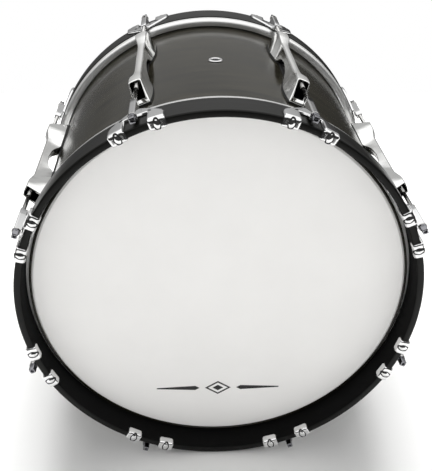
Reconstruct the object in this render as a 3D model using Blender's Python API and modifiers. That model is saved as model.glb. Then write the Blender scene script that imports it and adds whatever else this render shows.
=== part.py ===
"""Marching bass drum, 18 by 14 inches, standing on its two wooden hoops.

The model is in metres with +Z up.  The drum's axis runs along Y, the front head faces -Y, and the
origin lies on the floor under the middle of the drum.

Two local frames place the pieces.  A turned piece has local Z along the drum's axis, pointing out of
the drum, with 0 at the plane of the head's film.  Hardware has local X along a tangent, local Y along
the axis from the film plane towards the drum's middle, and local Z out along a radius.
"""

import math

import bmesh
import bpy
from mathutils import Matrix, Vector

MM = 0.001
INCH = 0.0254

# Driving dimensions
SHELL_RADIUS = 9 * INCH
SHELL_DEPTH = 14 * INCH
SHELL_WALL = 7.5 * MM
HOOP_WIDTH = 1.5 * INCH
HOOP_INNER_RADIUS = SHELL_RADIUS + 4 * MM
HOOP_THICKNESS = 8.7 * MM
HOOP_FRONT = 30 * MM
LUG_COUNT = 8
RING_SIDES = 64
GAP = 0.3 * MM

HOOP_OUTER_RADIUS = HOOP_INNER_RADIUS + HOOP_THICKNESS
HOOP_BACK = HOOP_FRONT - HOOP_WIDTH
HOOP_ROUNDING = 2.4 * MM
HALF_DEPTH = SHELL_DEPTH / 2
AXIS_HEIGHT = HOOP_OUTER_RADIUS
LUG_STEP = math.tau / LUG_COUNT
FACET = 1 / math.cos(math.pi / RING_SIDES)

# Head
FILM = 0.5 * MM
FILM_FLAT_RADIUS = 226 * MM
COLLAR_RADIUS = SHELL_RADIUS + 1.6 * MM
COLLAR_DEPTH = 15 * MM
FLESH_INNER_RADIUS = COLLAR_RADIUS + GAP
FLESH_DEPTH = 11.5 * MM

# Tension hardware
ROD_AXIS_RADIUS = 249.2 * MM
ROD_RADIUS = 2.6 * MM
ROD_TIP = 108 * MM
ROD_SIDES = 8
HEAD_SQUARE = 6.6 * MM
HEAD_LENGTH = 9.5 * MM
COLLAR_LENGTH = 1.6 * MM
ROD_COLLAR_RADIUS = 4.6 * MM
WASHER_RADIUS = 5.2 * MM
WASHER_THICKNESS = 1.4 * MM
ROD_CLEARANCE = 0.3 * MM
SLEEVE_FRONT = -19.5 * MM
SLEEVE_BACK = 28 * MM
SLEEVE_HALF_WIDTH = 4 * MM
SLEEVE_TOP = ROD_AXIS_RADIUS + 3.8 * MM

# Claw yoke
CLAW_ANGLE = math.radians(5.4)
CLAW_WIDTH = 19 * MM
YOKE_WALL = 3.4 * MM
YOKE_GAP = 0.45 * MM
YOKE_INNER_RADIUS = HOOP_OUTER_RADIUS + YOKE_GAP
YOKE_FRONT = -(HOOP_FRONT + YOKE_GAP)
LIP_RADIUS = HOOP_INNER_RADIUS - YOKE_GAP
LIP_END = -(HOOP_FRONT - 9 * MM)

# Lug
LUG_TOP = 256 * MM
LUG_WAIST_TOP = 251.5 * MM
GASKET = 0.9 * MM
LUG_FOOT = SHELL_RADIUS * FACET + GASKET + 2 * GAP
ARCH_TOP = 241.5 * MM
CHANNEL_WIDTH = 10.4 * MM
CHANNEL_TOP = 253.6 * MM
CHANNEL_FLOOR = 241.5 * MM
CHANNEL_END = 87 * MM
BORE_END = 113 * MM
SCREW_PLACE = 84 * MM
SCREW_RADIUS = 2.5 * MM
SCREW_ROOT = 3 * MM
SCREW_SIDES = 8
SCREW_WASHER_RADIUS = 7 * MM
SCREW_WASHER = 1.5 * MM
SCREW_HEAD_RADIUS = 4.6 * MM
SCREW_HEAD = 4 * MM

# Vent
VENT_HOLE_RADIUS = 6.6 * MM
VENT_TUBE_RADIUS = 6.2 * MM
VENT_BORE_RADIUS = 5 * MM
VENT_FLANGE_RADIUS = 9 * MM
VENT_FLANGE = 1.8 * MM
VENT_SIDES = 16

ENDS = {"front": -1, "rear": 1}


def clear_scene():
    for obj in list(bpy.data.objects):
        bpy.data.objects.remove(obj, do_unlink=True)


def new_collection(name):
    collection = bpy.data.collections.new(name)
    bpy.context.scene.collection.children.link(collection)
    return collection


def new_material(name, colour, roughness, metallic=0.0):
    material = bpy.data.materials.new(name)
    material.use_nodes = True
    shader = material.node_tree.nodes["Principled BSDF"]
    shader.inputs["Base Color"].default_value = (*colour, 1.0)
    shader.inputs["Roughness"].default_value = roughness
    shader.inputs["Metallic"].default_value = metallic
    return material


def new_object(name, mesh, place=Matrix.Identity(4), collection=None):
    obj = bpy.data.objects.new(name, mesh)
    (collection or PARTS).objects.link(obj)
    obj.matrix_world = place
    return obj


def dress(obj, material):
    """Give a piece its material, with round surfaces shaded smooth."""
    obj.data.materials.clear()
    obj.data.materials.append(material)
    obj.data.shade_smooth()
    obj.data.set_sharp_from_angle(angle=math.radians(30))
    return obj


def turned_place(end):
    """Local Z out of the drum at this end, with a facet of the ring straight down."""
    turn = Matrix.Rotation(math.pi / RING_SIDES, 4, "Z")
    tip = Matrix.Rotation(-ENDS[end] * math.pi / 2, 4, "X")
    return Matrix.Translation((0, ENDS[end] * HALF_DEPTH, AXIS_HEIGHT)) @ tip @ turn


def hardware_place(end, angle):
    """The hardware frame at an angle from the top of the drum, measured towards +X."""
    face = Matrix.Rotation(math.pi if end == "rear" else 0, 4, "Z")
    around = Matrix.Rotation(angle, 4, "Y")
    return Matrix.Translation((0, ENDS[end] * HALF_DEPTH, AXIS_HEIGHT)) @ around @ face


def middle_place(number):
    """A lug's own frame: local Y is 0 at the middle of the drum's depth."""
    around = Matrix.Rotation(lug_angle(number), 4, "Y")
    return Matrix.Translation((0, 0, AXIS_HEIGHT)) @ around


def lug_angle(number):
    return (number - 0.5) * LUG_STEP


def profile_mesh(name, points, closed=True):
    """Edges only, in the XZ plane, for a Screw modifier to turn."""
    count = len(points)
    edges = [(i, (i + 1) % count) for i in range(count if closed else count - 1)]
    mesh = bpy.data.meshes.new(name)
    mesh.from_pydata([(r, 0, h) for r, h in points], edges, [])
    return mesh


def add_screw(obj, sides):
    screw = obj.modifiers.new("Turn", "SCREW")
    screw.steps = sides
    screw.render_steps = sides
    screw.use_merge_vertices = True
    screw.merge_threshold = 0.00001
    return obj


def turned(name, points, place, material, sides=RING_SIDES, closed=True):
    """A ring or disc whose profile is (radius, height); radii are those of the facets' middles."""
    scale = 1 / math.cos(math.pi / sides)
    profile = [(r * scale, h) for r, h in points]
    obj = new_object(name, profile_mesh(name, profile, closed), place)
    add_screw(obj, sides)
    return dress(obj, material)


def solid_mesh(obj, name):
    """The evaluated shape as a plain mesh, with the working object removed."""
    graph = bpy.context.evaluated_depsgraph_get()
    mesh = bpy.data.meshes.new_from_object(obj.evaluated_get(graph))
    mesh.name = name
    bpy.data.objects.remove(obj, do_unlink=True)
    return mesh


def box_mesh(name, low, high):
    low = Vector(low)
    high = Vector(high)
    bm = bmesh.new()
    size = Matrix.Diagonal((*(high - low), 1))
    bmesh.ops.create_cube(bm, size=1, matrix=Matrix.Translation((low + high) / 2) @ size)
    return finish_mesh(bm, name)


def finish_mesh(bm, name):
    bmesh.ops.recalc_face_normals(bm, faces=bm.faces)
    mesh = bpy.data.meshes.new(name)
    bm.to_mesh(mesh)
    bm.free()
    return mesh


def rod_mesh(name, radius, start, end, height, sides):
    """A round bar along local Y at a height above the drum's axis."""
    bm = bmesh.new()
    turn = Matrix.Rotation(-math.pi / 2, 4, "X") @ Matrix.Rotation(math.pi / sides, 4, "Z")
    place = Matrix.Translation((0, (start + end) / 2, height)) @ turn
    scaled = radius / math.cos(math.pi / sides)
    bmesh.ops.create_cone(bm, cap_ends=True, segments=sides, radius1=scaled, radius2=scaled,
                          depth=end - start, matrix=place)
    return finish_mesh(bm, name)


def pin_mesh(name, radius, low, high, along, sides):
    """A round bar along local Z, at a distance along local Y."""
    bm = bmesh.new()
    place = Matrix.Translation((0, along, (low + high) / 2))
    bmesh.ops.create_cone(bm, cap_ends=True, segments=sides, radius1=radius, radius2=radius,
                          depth=high - low, matrix=place)
    return finish_mesh(bm, name)


def joined_mesh(name, meshes_and_places):
    """Separate solids in one mesh, each set in its own place."""
    bm = bmesh.new()
    for mesh, place in meshes_and_places:
        before = len(bm.verts)
        bm.from_mesh(mesh)
        bm.verts.ensure_lookup_table()
        bmesh.ops.transform(bm, matrix=place, verts=bm.verts[before:])
    mesh = bpy.data.meshes.new(name)
    bm.to_mesh(mesh)
    bm.free()
    return mesh


def boolean(obj, mesh, operation):
    """Cut or join with another closed mesh, kept as a hidden helper."""
    helper = new_object(obj.name + "_" + operation.lower(), mesh, obj.matrix_world.copy(), CUTTERS)
    helper.hide_render = True
    helper.display_type = "WIRE"
    step = obj.modifiers.new(operation.title(), "BOOLEAN")
    step.operation = operation
    step.object = helper


def combined(name, base, joins=(), cuts=()):
    """One closed mesh from a base mesh, joined to some and cut by others."""
    obj = new_object(name, base)
    for mesh in joins:
        boolean(obj, mesh, "UNION")
    for mesh in cuts:
        boolean(obj, mesh, "DIFFERENCE")
    return solid_mesh(obj, name)


def every_lug(end):
    return [(number, hardware_place(end, lug_angle(number))) for number in range(1, LUG_COUNT + 1)]


def both_ends():
    return [place for end in ENDS for _, place in every_lug(end)]


# Shell, heads and hoops


def build_shell(material):
    """Wooden shell with a rounded bearing edge at both ends, a vent hole and the lug screws' holes."""
    top = SHELL_DEPTH - FILM - GAP
    bottom = FILM + GAP
    inner = SHELL_RADIUS - SHELL_WALL
    peak = SHELL_RADIUS - 3 * MM
    slope = 3.5 * MM
    profile = [
        (peak, top), (SHELL_RADIUS, top - slope), (SHELL_RADIUS, bottom + slope), (peak, bottom),
        (inner, bottom + slope), (inner, top - slope),
    ]
    turn = Matrix.Rotation(math.pi / 2, 4, "X") @ Matrix.Rotation(math.pi / RING_SIDES, 4, "Z")
    place = Matrix.Translation((0, HALF_DEPTH, AXIS_HEIGHT)) @ turn
    shell = turned("shell", profile, place, material)
    hole = pin_mesh("hole", SCREW_RADIUS + 2 * GAP, inner - 5 * MM, SHELL_RADIUS + 5 * MM,
                    SCREW_PLACE, SCREW_SIDES)
    vent = pin_mesh("vent", VENT_HOLE_RADIUS, inner - 5 * MM, SHELL_RADIUS + 5 * MM,
                    HALF_DEPTH, VENT_SIDES)
    drilled = [(hole, spot) for spot in both_ends()] + [(vent, hardware_place("front", 0))]
    cutter = new_object("shell_holes", joined_mesh("shell_holes", drilled), collection=CUTTERS)
    cutter.hide_render = True
    cutter.display_type = "WIRE"
    drill = shell.modifiers.new("Drill", "BOOLEAN")
    drill.operation = "DIFFERENCE"
    drill.object = cutter


def build_head(end, material):
    """Film with the collar that turns down over the bearing edge."""
    rim = COLLAR_RADIUS - FILM
    profile = [
        (0, 0), (FILM_FLAT_RADIUS, 0), (COLLAR_RADIUS, -5 * MM), (COLLAR_RADIUS, -COLLAR_DEPTH),
        (rim, -COLLAR_DEPTH), (rim, -5 * MM), (FILM_FLAT_RADIUS - FILM, -FILM), (0, -FILM),
    ]
    turned(end + "_head", profile, turned_place(end), material, closed=False)


def build_flesh_hoop(end, material):
    """Metal ring of the head, seen as a bright band behind the wooden hoop."""
    top = HOOP_BACK - GAP
    outer = HOOP_OUTER_RADIUS - 1 * MM
    profile = [
        (outer, top), (outer, top - 3.5 * MM), (SHELL_RADIUS + 5.2 * MM, top - FLESH_DEPTH),
        (FLESH_INNER_RADIUS, top - FLESH_DEPTH), (FLESH_INNER_RADIUS, top),
    ]
    turned(end + "_flesh_hoop", profile, turned_place(end), material)


def build_hoop(end, material):
    """Wooden counterhoop with its edges eased."""
    ease = HOOP_ROUNDING
    profile = [
        (HOOP_OUTER_RADIUS - ease, HOOP_FRONT), (HOOP_OUTER_RADIUS, HOOP_FRONT - ease),
        (HOOP_OUTER_RADIUS, HOOP_BACK), (HOOP_INNER_RADIUS, HOOP_BACK),
        (HOOP_INNER_RADIUS, HOOP_FRONT - ease), (HOOP_INNER_RADIUS + ease, HOOP_FRONT),
    ]
    turned(end + "_hoop", profile, turned_place(end), material)


# Claw yokes and rods


def yoke_surface():
    """The yoke's inner face as an open surface: a bridge plate with two arms that hook over the hoop."""
    bend = 2.2 * MM
    bridge_back = 12 * MM
    bridge_front = -7 * MM
    shoulder = -12 * MM
    fold = [
        (YOKE_FRONT + bend, YOKE_INNER_RADIUS), (YOKE_FRONT, YOKE_INNER_RADIUS - bend),
        (YOKE_FRONT, LIP_RADIUS + 1.2 * MM), (YOKE_FRONT + 1.2 * MM, LIP_RADIUS), (LIP_END, LIP_RADIUS),
    ]
    half = CLAW_WIDTH / 2
    bm = bmesh.new()
    middle = [bm.verts.new((0, along, YOKE_INNER_RADIUS)) for along in (bridge_back, bridge_front)]
    for side in (1, -1):
        tilt = Matrix.Rotation(side * CLAW_ANGLE, 4, "Y")
        columns = []
        for across, back in ((-half, 7 * MM), (half, shoulder)):
            path = [(back, YOKE_INNER_RADIUS), (min(bridge_front, back - 3 * MM), YOKE_INNER_RADIUS)]
            columns.append([
                bm.verts.new(tilt @ Vector((side * across, along, height))) for along, height in path + fold
            ])
        near, far = columns
        for row in range(len(near) - 1):
            bm.faces.new((near[row], near[row + 1], far[row + 1], far[row]))
        bm.faces.new((middle[0], middle[1], near[1], near[0]))
    bmesh.ops.recalc_face_normals(bm, faces=bm.faces)
    bm.faces.ensure_lookup_table()
    if bm.faces[0].normal.z < 0:
        bmesh.ops.reverse_faces(bm, faces=bm.faces)
    mesh = bpy.data.meshes.new("yoke_surface")
    bm.to_mesh(mesh)
    bm.free()
    return mesh


def build_claws(material):
    """Double claw yokes, each with the sleeve that a tension rod passes through."""
    plate = new_object("yoke_plate", yoke_surface())
    thicken = plate.modifiers.new("Thicken", "SOLIDIFY")
    thicken.thickness = YOKE_WALL
    thicken.offset = 1
    base = solid_mesh(plate, "yoke_plate")
    low = (-SLEEVE_HALF_WIDTH, SLEEVE_FRONT, YOKE_INNER_RADIUS + 1 * MM)
    sleeve = box_mesh("sleeve", low, (SLEEVE_HALF_WIDTH, SLEEVE_BACK, SLEEVE_TOP))
    bore = rod_mesh("bore", ROD_RADIUS + ROD_CLEARANCE, SLEEVE_FRONT - 5 * MM, SLEEVE_BACK + 5 * MM,
                    ROD_AXIS_RADIUS, ROD_SIDES)
    claw = combined("claw_yoke", base, joins=[sleeve], cuts=[bore])
    for end in ENDS:
        for number, place in every_lug(end):
            dress(new_object(f"{end}_claw_{number}", claw, place), material)


def build_rods(material):
    """Tension rods, each with its collar, washer and square key head, and its origin on its own axis."""
    washer_back = SLEEVE_FRONT - GAP
    washer_front = washer_back - WASHER_THICKNESS
    collar_front = washer_front - COLLAR_LENGTH
    half = HEAD_SQUARE / 2
    shaft = rod_mesh("shaft", ROD_RADIUS, collar_front, ROD_TIP, 0, ROD_SIDES)
    washer = rod_mesh("washer", WASHER_RADIUS, washer_front, washer_back, 0, 2 * ROD_SIDES)
    collar = rod_mesh("collar", ROD_COLLAR_RADIUS, collar_front, washer_front + MM / 2, 0, 2 * ROD_SIDES)
    low = (-half, collar_front - HEAD_LENGTH, -half)
    key = box_mesh("key", low, (half, collar_front + MM / 2, half))
    rod = combined("tension_rod", washer, joins=[collar, key, shaft])
    for end in ENDS:
        for number, place in every_lug(end):
            spot = place @ Matrix.Translation((0, 0, ROD_AXIS_RADIUS))
            dress(new_object(f"{end}_rod_{number}", rod, spot), material)


# Lugs and gaskets


def lug_half():
    """Half of a lug as a loft of sections, open at the drum's middle: hood, waist and arch."""
    # Each section: top (along, height, half width) and bottom (along, height, half width).
    foot = LUG_FOOT
    stations = [
        ((77, LUG_TOP / MM, 8.0), (62, foot / MM, 9.2)),
        ((95, LUG_TOP / MM - 0.6, 7.8), (90, foot / MM, 12.0)),
        ((122, LUG_WAIST_TOP / MM, 5.4), (118, foot / MM, 10.6)),
        ((134, LUG_WAIST_TOP / MM, 5.0), (136, foot / MM, 7.0)),
        ((145, LUG_WAIST_TOP / MM, 5.0), (144, 234.5, 6.4)),
        ((156, LUG_WAIST_TOP / MM, 5.2), (156, ARCH_TOP / MM - 2.4, 6.0)),
        ((HALF_DEPTH / MM, LUG_WAIST_TOP / MM, 5.4), (HALF_DEPTH / MM, ARCH_TOP / MM, 5.8)),
    ]
    chamfer = 1.2
    bm = bmesh.new()
    sections = []
    for (y_top, z_top, w_top), (y_low, z_low, w_low) in stations:
        corners = [(w_top - chamfer, y_top, z_top), (w_top, y_top, z_top - chamfer), (w_low, y_low, z_low)]
        loop = corners + [(-x, y, z) for x, y, z in reversed(corners)]
        sections.append([bm.verts.new((x * MM, y * MM - HALF_DEPTH, z * MM)) for x, y, z in loop])
    bm.faces.new(sections[0])
    for first, second in zip(sections, sections[1:]):
        for i in range(len(first)):
            j = (i + 1) % len(first)
            bm.faces.new((first[i], first[j], second[j], second[i]))
    return finish_mesh(bm, "lug_half")


def screw_mesh():
    """Lug screw along local Z with its flat washer and head inside the shell, rooted in the lug's foot."""
    inside = SHELL_RADIUS - SHELL_WALL - GAP
    washer = inside - SCREW_WASHER
    head = washer - SCREW_HEAD
    profile = [
        (0, LUG_FOOT + SCREW_ROOT), (SCREW_RADIUS, LUG_FOOT + SCREW_ROOT), (SCREW_RADIUS, inside),
        (SCREW_WASHER_RADIUS, inside), (SCREW_WASHER_RADIUS, washer), (SCREW_HEAD_RADIUS, washer),
        (SCREW_HEAD_RADIUS, head), (0, head),
    ]
    screw = new_object("screw", profile_mesh("screw", profile, closed=False))
    return solid_mesh(add_screw(screw, SCREW_SIDES), "screw")


def build_lugs(material):
    """One-piece bridge lugs: a rod channel and bore in each end, and a screw in each foot."""
    half = new_object("lug_half", lug_half())
    mirror = half.modifiers.new("Mirror", "MIRROR")
    mirror.use_axis = (False, True, False)
    mirror.merge_threshold = 0.00001
    body = solid_mesh(half, "lug_body")
    screw = screw_mesh()
    screws = []
    cuts = []
    for side in (-1, 1):
        mouth = side * (HALF_DEPTH - 50 * MM)
        near = side * (HALF_DEPTH - CHANNEL_END)
        far = side * (HALF_DEPTH - BORE_END)
        low = (-CHANNEL_WIDTH / 2, min(near, mouth), CHANNEL_FLOOR)
        cuts.append(box_mesh("channel", low, (CHANNEL_WIDTH / 2, max(near, mouth), CHANNEL_TOP)))
        cuts.append(rod_mesh("bore", ROD_RADIUS + ROD_CLEARANCE, min(far, mouth), max(far, mouth),
                             ROD_AXIS_RADIUS, ROD_SIDES))
        along = Matrix.Translation((0, side * (HALF_DEPTH - SCREW_PLACE), 0))
        screws.append(joined_mesh("screw", [(screw, along)]))
    lug = combined("lug", body, joins=screws, cuts=cuts)
    for number in range(1, LUG_COUNT + 1):
        dress(new_object(f"lug_{number}", lug, middle_place(number)), material)


def build_gaskets(material):
    """Rubber gasket under each lug: a pad below each foot and a narrow web between the pads."""
    low = SHELL_RADIUS * FACET + GAP
    top = low + GASKET
    reach = HALF_DEPTH - 65 * MM
    inner = HALF_DEPTH - 128 * MM
    base = box_mesh("web", (-2 * MM, -inner - MM, low), (2 * MM, inner + MM, top))
    pads = []
    holes = []
    for side in (-1, 1):
        near, far = sorted((side * inner, side * reach))
        pads.append(box_mesh("pad", (-9 * MM, near, low), (9 * MM, far, top)))
        holes.append(pin_mesh("gasket_hole", SCREW_RADIUS + 2 * GAP, low - 5 * MM, low + 5 * MM,
                              side * (HALF_DEPTH - SCREW_PLACE), SCREW_SIDES))
    gasket = combined("gasket", base, joins=pads, cuts=holes)
    for number in range(1, LUG_COUNT + 1):
        dress(new_object(f"lug_gasket_{number}", gasket, middle_place(number)), material)


# Vent


def build_vent(material):
    """Vent grommet through the top of the shell, with its lock ring inside."""
    place = Matrix.Translation((0, 0, AXIS_HEIGHT))
    seat = SHELL_RADIUS * FACET + GAP
    inside = SHELL_RADIUS - SHELL_WALL
    profile = [
        (VENT_FLANGE_RADIUS - 1.2 * MM, seat + VENT_FLANGE), (VENT_FLANGE_RADIUS, seat + 0.6 * MM),
        (VENT_FLANGE_RADIUS, seat), (VENT_TUBE_RADIUS, seat), (VENT_TUBE_RADIUS, inside - 3 * MM),
        (VENT_BORE_RADIUS, inside - 3 * MM), (VENT_BORE_RADIUS, seat + VENT_FLANGE),
    ]
    turned("vent_grommet", profile, place, material, VENT_SIDES)
    top = inside - GAP
    clear = VENT_TUBE_RADIUS + GAP
    ring = [(clear + 3 * MM, top), (clear + 3 * MM, top - 1.5 * MM), (clear, top - 1.5 * MM), (clear, top)]
    turned("vent_lock_ring", ring, place, material, VENT_SIDES)


def main():
    shell_lacquer = new_material("charcoal_stained_lacquer", (0.075, 0.072, 0.063), 0.35)
    hoop_lacquer = new_material("black_hoop_lacquer", (0.03, 0.03, 0.028), 0.4)
    film = new_material("white_film", (0.82, 0.81, 0.8), 0.45)
    chrome = new_material("chrome_plate", (0.8, 0.8, 0.8), 0.08, 1.0)
    cast = new_material("satin_cast_metal", (0.62, 0.62, 0.6), 0.32, 1.0)
    aluminium = new_material("rolled_aluminium", (0.75, 0.75, 0.74), 0.25, 1.0)
    steel = new_material("plated_steel", (0.7, 0.7, 0.7), 0.2, 1.0)
    rubber = new_material("black_rubber", (0.015, 0.015, 0.015), 0.8)

    build_shell(shell_lacquer)
    for end in ENDS:
        build_head(end, film)
        build_flesh_hoop(end, aluminium)
        build_hoop(end, hoop_lacquer)
    build_lugs(cast)
    build_gaskets(rubber)
    build_claws(chrome)
    build_rods(steel)
    build_vent(chrome)


clear_scene()
PARTS = new_collection("bass_drum")
CUTTERS = new_collection("cutters")
main()
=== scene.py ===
"""Marching bass drum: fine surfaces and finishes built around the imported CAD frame.

All lengths are metres in the frame's own axes: the drum's axis runs along Y, the front head faces -Y
and +Z is up.  Pieces are modelled in one of two local frames and then set in place.

* A turned piece has local Z along the drum's axis, pointing out of the drum, with 0 at the film plane.
* Hardware has local X along a tangent, local Y from the film plane towards the drum's middle and
  local Z out along a radius, counted from the drum's axis.
"""

import logging
import math
from dataclasses import dataclass
from enum import Enum
from itertools import accumulate
from typing import Iterable, Sequence

import bmesh
import bpy
from mathutils import Matrix, Vector


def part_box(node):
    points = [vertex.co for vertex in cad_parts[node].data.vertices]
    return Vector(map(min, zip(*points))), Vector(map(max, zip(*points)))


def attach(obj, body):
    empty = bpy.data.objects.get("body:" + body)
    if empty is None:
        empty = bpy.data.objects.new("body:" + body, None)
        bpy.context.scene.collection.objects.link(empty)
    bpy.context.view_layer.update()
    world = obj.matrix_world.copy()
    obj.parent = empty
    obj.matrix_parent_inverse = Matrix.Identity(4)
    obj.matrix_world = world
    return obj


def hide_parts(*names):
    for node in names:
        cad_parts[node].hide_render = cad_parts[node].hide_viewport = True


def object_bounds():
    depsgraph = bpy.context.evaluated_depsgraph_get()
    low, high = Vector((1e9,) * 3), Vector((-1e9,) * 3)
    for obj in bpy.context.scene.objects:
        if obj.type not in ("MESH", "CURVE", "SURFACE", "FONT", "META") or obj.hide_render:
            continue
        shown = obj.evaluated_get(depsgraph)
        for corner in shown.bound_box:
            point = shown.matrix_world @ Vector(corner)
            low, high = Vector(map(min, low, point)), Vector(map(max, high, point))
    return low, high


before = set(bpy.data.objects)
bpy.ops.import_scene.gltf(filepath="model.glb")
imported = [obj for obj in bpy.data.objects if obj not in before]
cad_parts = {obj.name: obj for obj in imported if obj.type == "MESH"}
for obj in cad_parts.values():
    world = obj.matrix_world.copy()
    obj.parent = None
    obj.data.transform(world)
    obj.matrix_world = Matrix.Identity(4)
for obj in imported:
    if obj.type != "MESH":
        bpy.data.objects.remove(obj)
CAD_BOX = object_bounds()

MM = 0.001
LOG = logging.getLogger("bass_drum")

Mesh = bpy.types.Mesh
Node = bpy.types.Node
Socket = bpy.types.NodeSocket
Tree = bpy.types.NodeTree
Point = tuple[float, float]
Colour = tuple[float, float, float, float]
SkinPoint = tuple[float, float, float, float]
GridKey = tuple[int, int]
Grid = dict[GridKey, tuple[float, float, SkinPoint]]
Inputs = dict[str | int, object]

# The attribute brushed rises from 0 to 1 over this span of a face's upward slope.
BRUSHED_FROM = 0.75
BRUSHED_SPAN = 0.2


# Small helpers


def srgb(code: str) -> Colour:
    """Turn an sRGB hex code into a linear colour.

    Args:
        code: Six hex digits, with or without a leading hash sign.

    Returns:
        Linear red, green, blue and an alpha of 1.
    """
    digits = code.lstrip("#")
    parts = [int(digits[i:i + 2], 16) / 255 for i in (0, 2, 4)]
    linear = [c / 12.92 if c <= 0.04045 else ((c + 0.055) / 1.055) ** 2.4 for c in parts]
    return (linear[0], linear[1], linear[2], 1.0)


def per_mm(size: float) -> float:
    """Return the texture scale, per metre, that repeats a pattern about every ``size`` millimetres."""
    return 1 / (size * MM)


def add_node(tree: Tree, kind: str, inputs: Inputs | None = None, **settings: object) -> Node:
    """Add a node with its settings, and link or set its inputs.

    Args:
        tree: The tree that the node goes into.
        kind: The node's type name.
        inputs: Socket names or indices, each with a value or with the socket that feeds it.
        **settings: Properties of the node itself.

    Returns:
        The new node.
    """
    node = tree.nodes.new(kind)
    for name, value in settings.items():
        setattr(node, name, value)
    for key, value in (inputs or {}).items():
        if isinstance(value, Socket):
            tree.links.new(value, node.inputs[key])
        else:
            node.inputs[key].default_value = value
    return node


def monotone(values: Sequence[float], position: float) -> float:
    """Interpolate smoothly through values at whole positions, without overshoot.

    Args:
        values: The values at 0, 1, 2 and so on.
        position: Where to read, from 0 to the last index.

    Returns:
        The interpolated value.
    """
    last = len(values) - 1
    left = min(int(position), last - 1)
    share = position - left
    steps = [b - a for a, b in zip(values, values[1:])]

    def slope(index: int) -> float:
        """Return the slope at a value, which is flat where the values turn back.

        Args:
            index: Index of the value.

        Returns:
            The slope there.
        """
        if index in (0, last):
            return steps[min(index, last - 1)]
        before, after = steps[index - 1], steps[index]
        if before * after <= 0:
            return 0.0
        return 2 * before * after / (before + after)

    square, cube = share * share, share ** 3
    return ((2 * cube - 3 * square + 1) * values[left] + (cube - 2 * square + share) * slope(left)
            + (3 * square - 2 * cube) * values[left + 1] + (cube - square) * slope(left + 1))


def arc(centre: Point, radius: float, start: float, end: float, count: int) -> list[Point]:
    """Return points on an arc, angles in degrees from the first axis, both ends included.

    Args:
        centre: Centre of the arc.
        radius: Its radius.
        start: Angle of the first point.
        end: Angle of the last point.
        count: Number of steps.

    Returns:
        One point more than the steps.
    """
    points = []
    for i in range(count + 1):
        angle = math.radians(start + (end - start) * i / count)
        points.append((centre[0] + radius * math.cos(angle), centre[1] + radius * math.sin(angle)))
    return points


def finish_bmesh(bm: bmesh.types.BMesh, name: str) -> Mesh:
    """Merge doubles, point the faces outwards and turn a working mesh into a mesh.

    Args:
        bm: The working mesh, which is freed.
        name: Name of the new mesh.

    Returns:
        The finished mesh.
    """
    bmesh.ops.remove_doubles(bm, verts=bm.verts, dist=1e-7)
    bmesh.ops.recalc_face_normals(bm, faces=bm.faces)
    mesh = bpy.data.meshes.new(name)
    bm.to_mesh(mesh)
    bm.free()
    return mesh


def band(bm: bmesh.types.BMesh, first: Sequence[bmesh.types.BMVert],
         second: Sequence[bmesh.types.BMVert]) -> None:
    """Join two closed loops of the same number of points with faces."""
    for a, b, c, d in zip(first, [*first[1:], first[0]], [*second[1:], second[0]], second):
        bm.faces.new((a, b, c, d))


def pin(bm: bmesh.types.BMesh, radius: float, length: float, place: Matrix) -> None:
    """Add a closed cylinder along local Z, centred on its place."""
    bmesh.ops.create_cone(bm, cap_ends=True, segments=32, radius1=radius, radius2=radius, depth=length,
                          matrix=place)


def ring_loft(name: str, rings: Sequence[Sequence[Vector]], capped: bool = True) -> Mesh:
    """Join rings of the same number of points with faces.

    Args:
        name: Name of the mesh.
        rings: The rings in order.
        capped: Close both ends with a face each, or else join the last ring to the first.

    Returns:
        The closed mesh.
    """
    bm = bmesh.new()
    rows = [[bm.verts.new(point) for point in ring] for ring in rings]
    for first, second in zip(rows, rows[1:] if capped else rows[1:] + rows[:1]):
        band(bm, first, second)
    if capped:
        bm.faces.new(rows[0])
        bm.faces.new(rows[-1])
    return finish_bmesh(bm, name)


def merged(name: str, meshes: Iterable[Mesh]) -> Mesh:
    """Copy several meshes into one.

    Args:
        name: Name of the new mesh.
        meshes: The meshes to copy.

    Returns:
        The joined mesh.
    """
    bm = bmesh.new()
    for mesh in meshes:
        bm.from_mesh(mesh)
    result = bpy.data.meshes.new(name)
    bm.to_mesh(result)
    bm.free()
    return result


def mark_brushed(mesh: Mesh) -> Mesh:
    """Mark the faces that look out along local Z with the attribute brushed, from 0 to 1.

    Args:
        mesh: The mesh to mark, with local Z pointing away from the drum.

    Returns:
        The same mesh.
    """
    marks = mesh.attributes.new("brushed", "FLOAT", "POINT")
    for vertex, mark in zip(mesh.vertices, marks.data):
        mark.value = min(1.0, max(0.0, (vertex.normal.z - BRUSHED_FROM) / BRUSHED_SPAN))
    return mesh


def holder_of(name: str, mesh: Mesh) -> bpy.types.Object:
    """Link a working object for a mesh into the scene.

    Args:
        name: Name of the object.
        mesh: Its mesh.

    Returns:
        The new object.
    """
    obj = bpy.data.objects.new(name, mesh)
    bpy.context.scene.collection.objects.link(obj)
    return obj


def evaluated_mesh(obj: bpy.types.Object) -> Mesh:
    """Return an object's evaluated shape as a plain mesh, and remove the object.

    Args:
        obj: The working object.

    Returns:
        The mesh with all modifiers applied.
    """
    graph = bpy.context.evaluated_depsgraph_get()
    mesh = bpy.data.meshes.new_from_object(obj.evaluated_get(graph))
    bpy.data.objects.remove(obj, do_unlink=True)
    return mesh


def carved(mesh: Mesh, tool: Mesh, operation: str = "DIFFERENCE") -> Mesh:
    """Cut one closed mesh with another, or join it on.

    Args:
        mesh: The mesh to change.
        tool: The mesh that cuts it or joins it.
        operation: The Boolean operation.

    Returns:
        The new closed mesh.
    """
    body = holder_of("body", mesh)
    other = holder_of("tool", tool)
    step = body.modifiers.new("Carve", "BOOLEAN")
    step.operation = operation
    step.object = other
    result = evaluated_mesh(body)
    bpy.data.objects.remove(other, do_unlink=True)
    return result


# The frame


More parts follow.
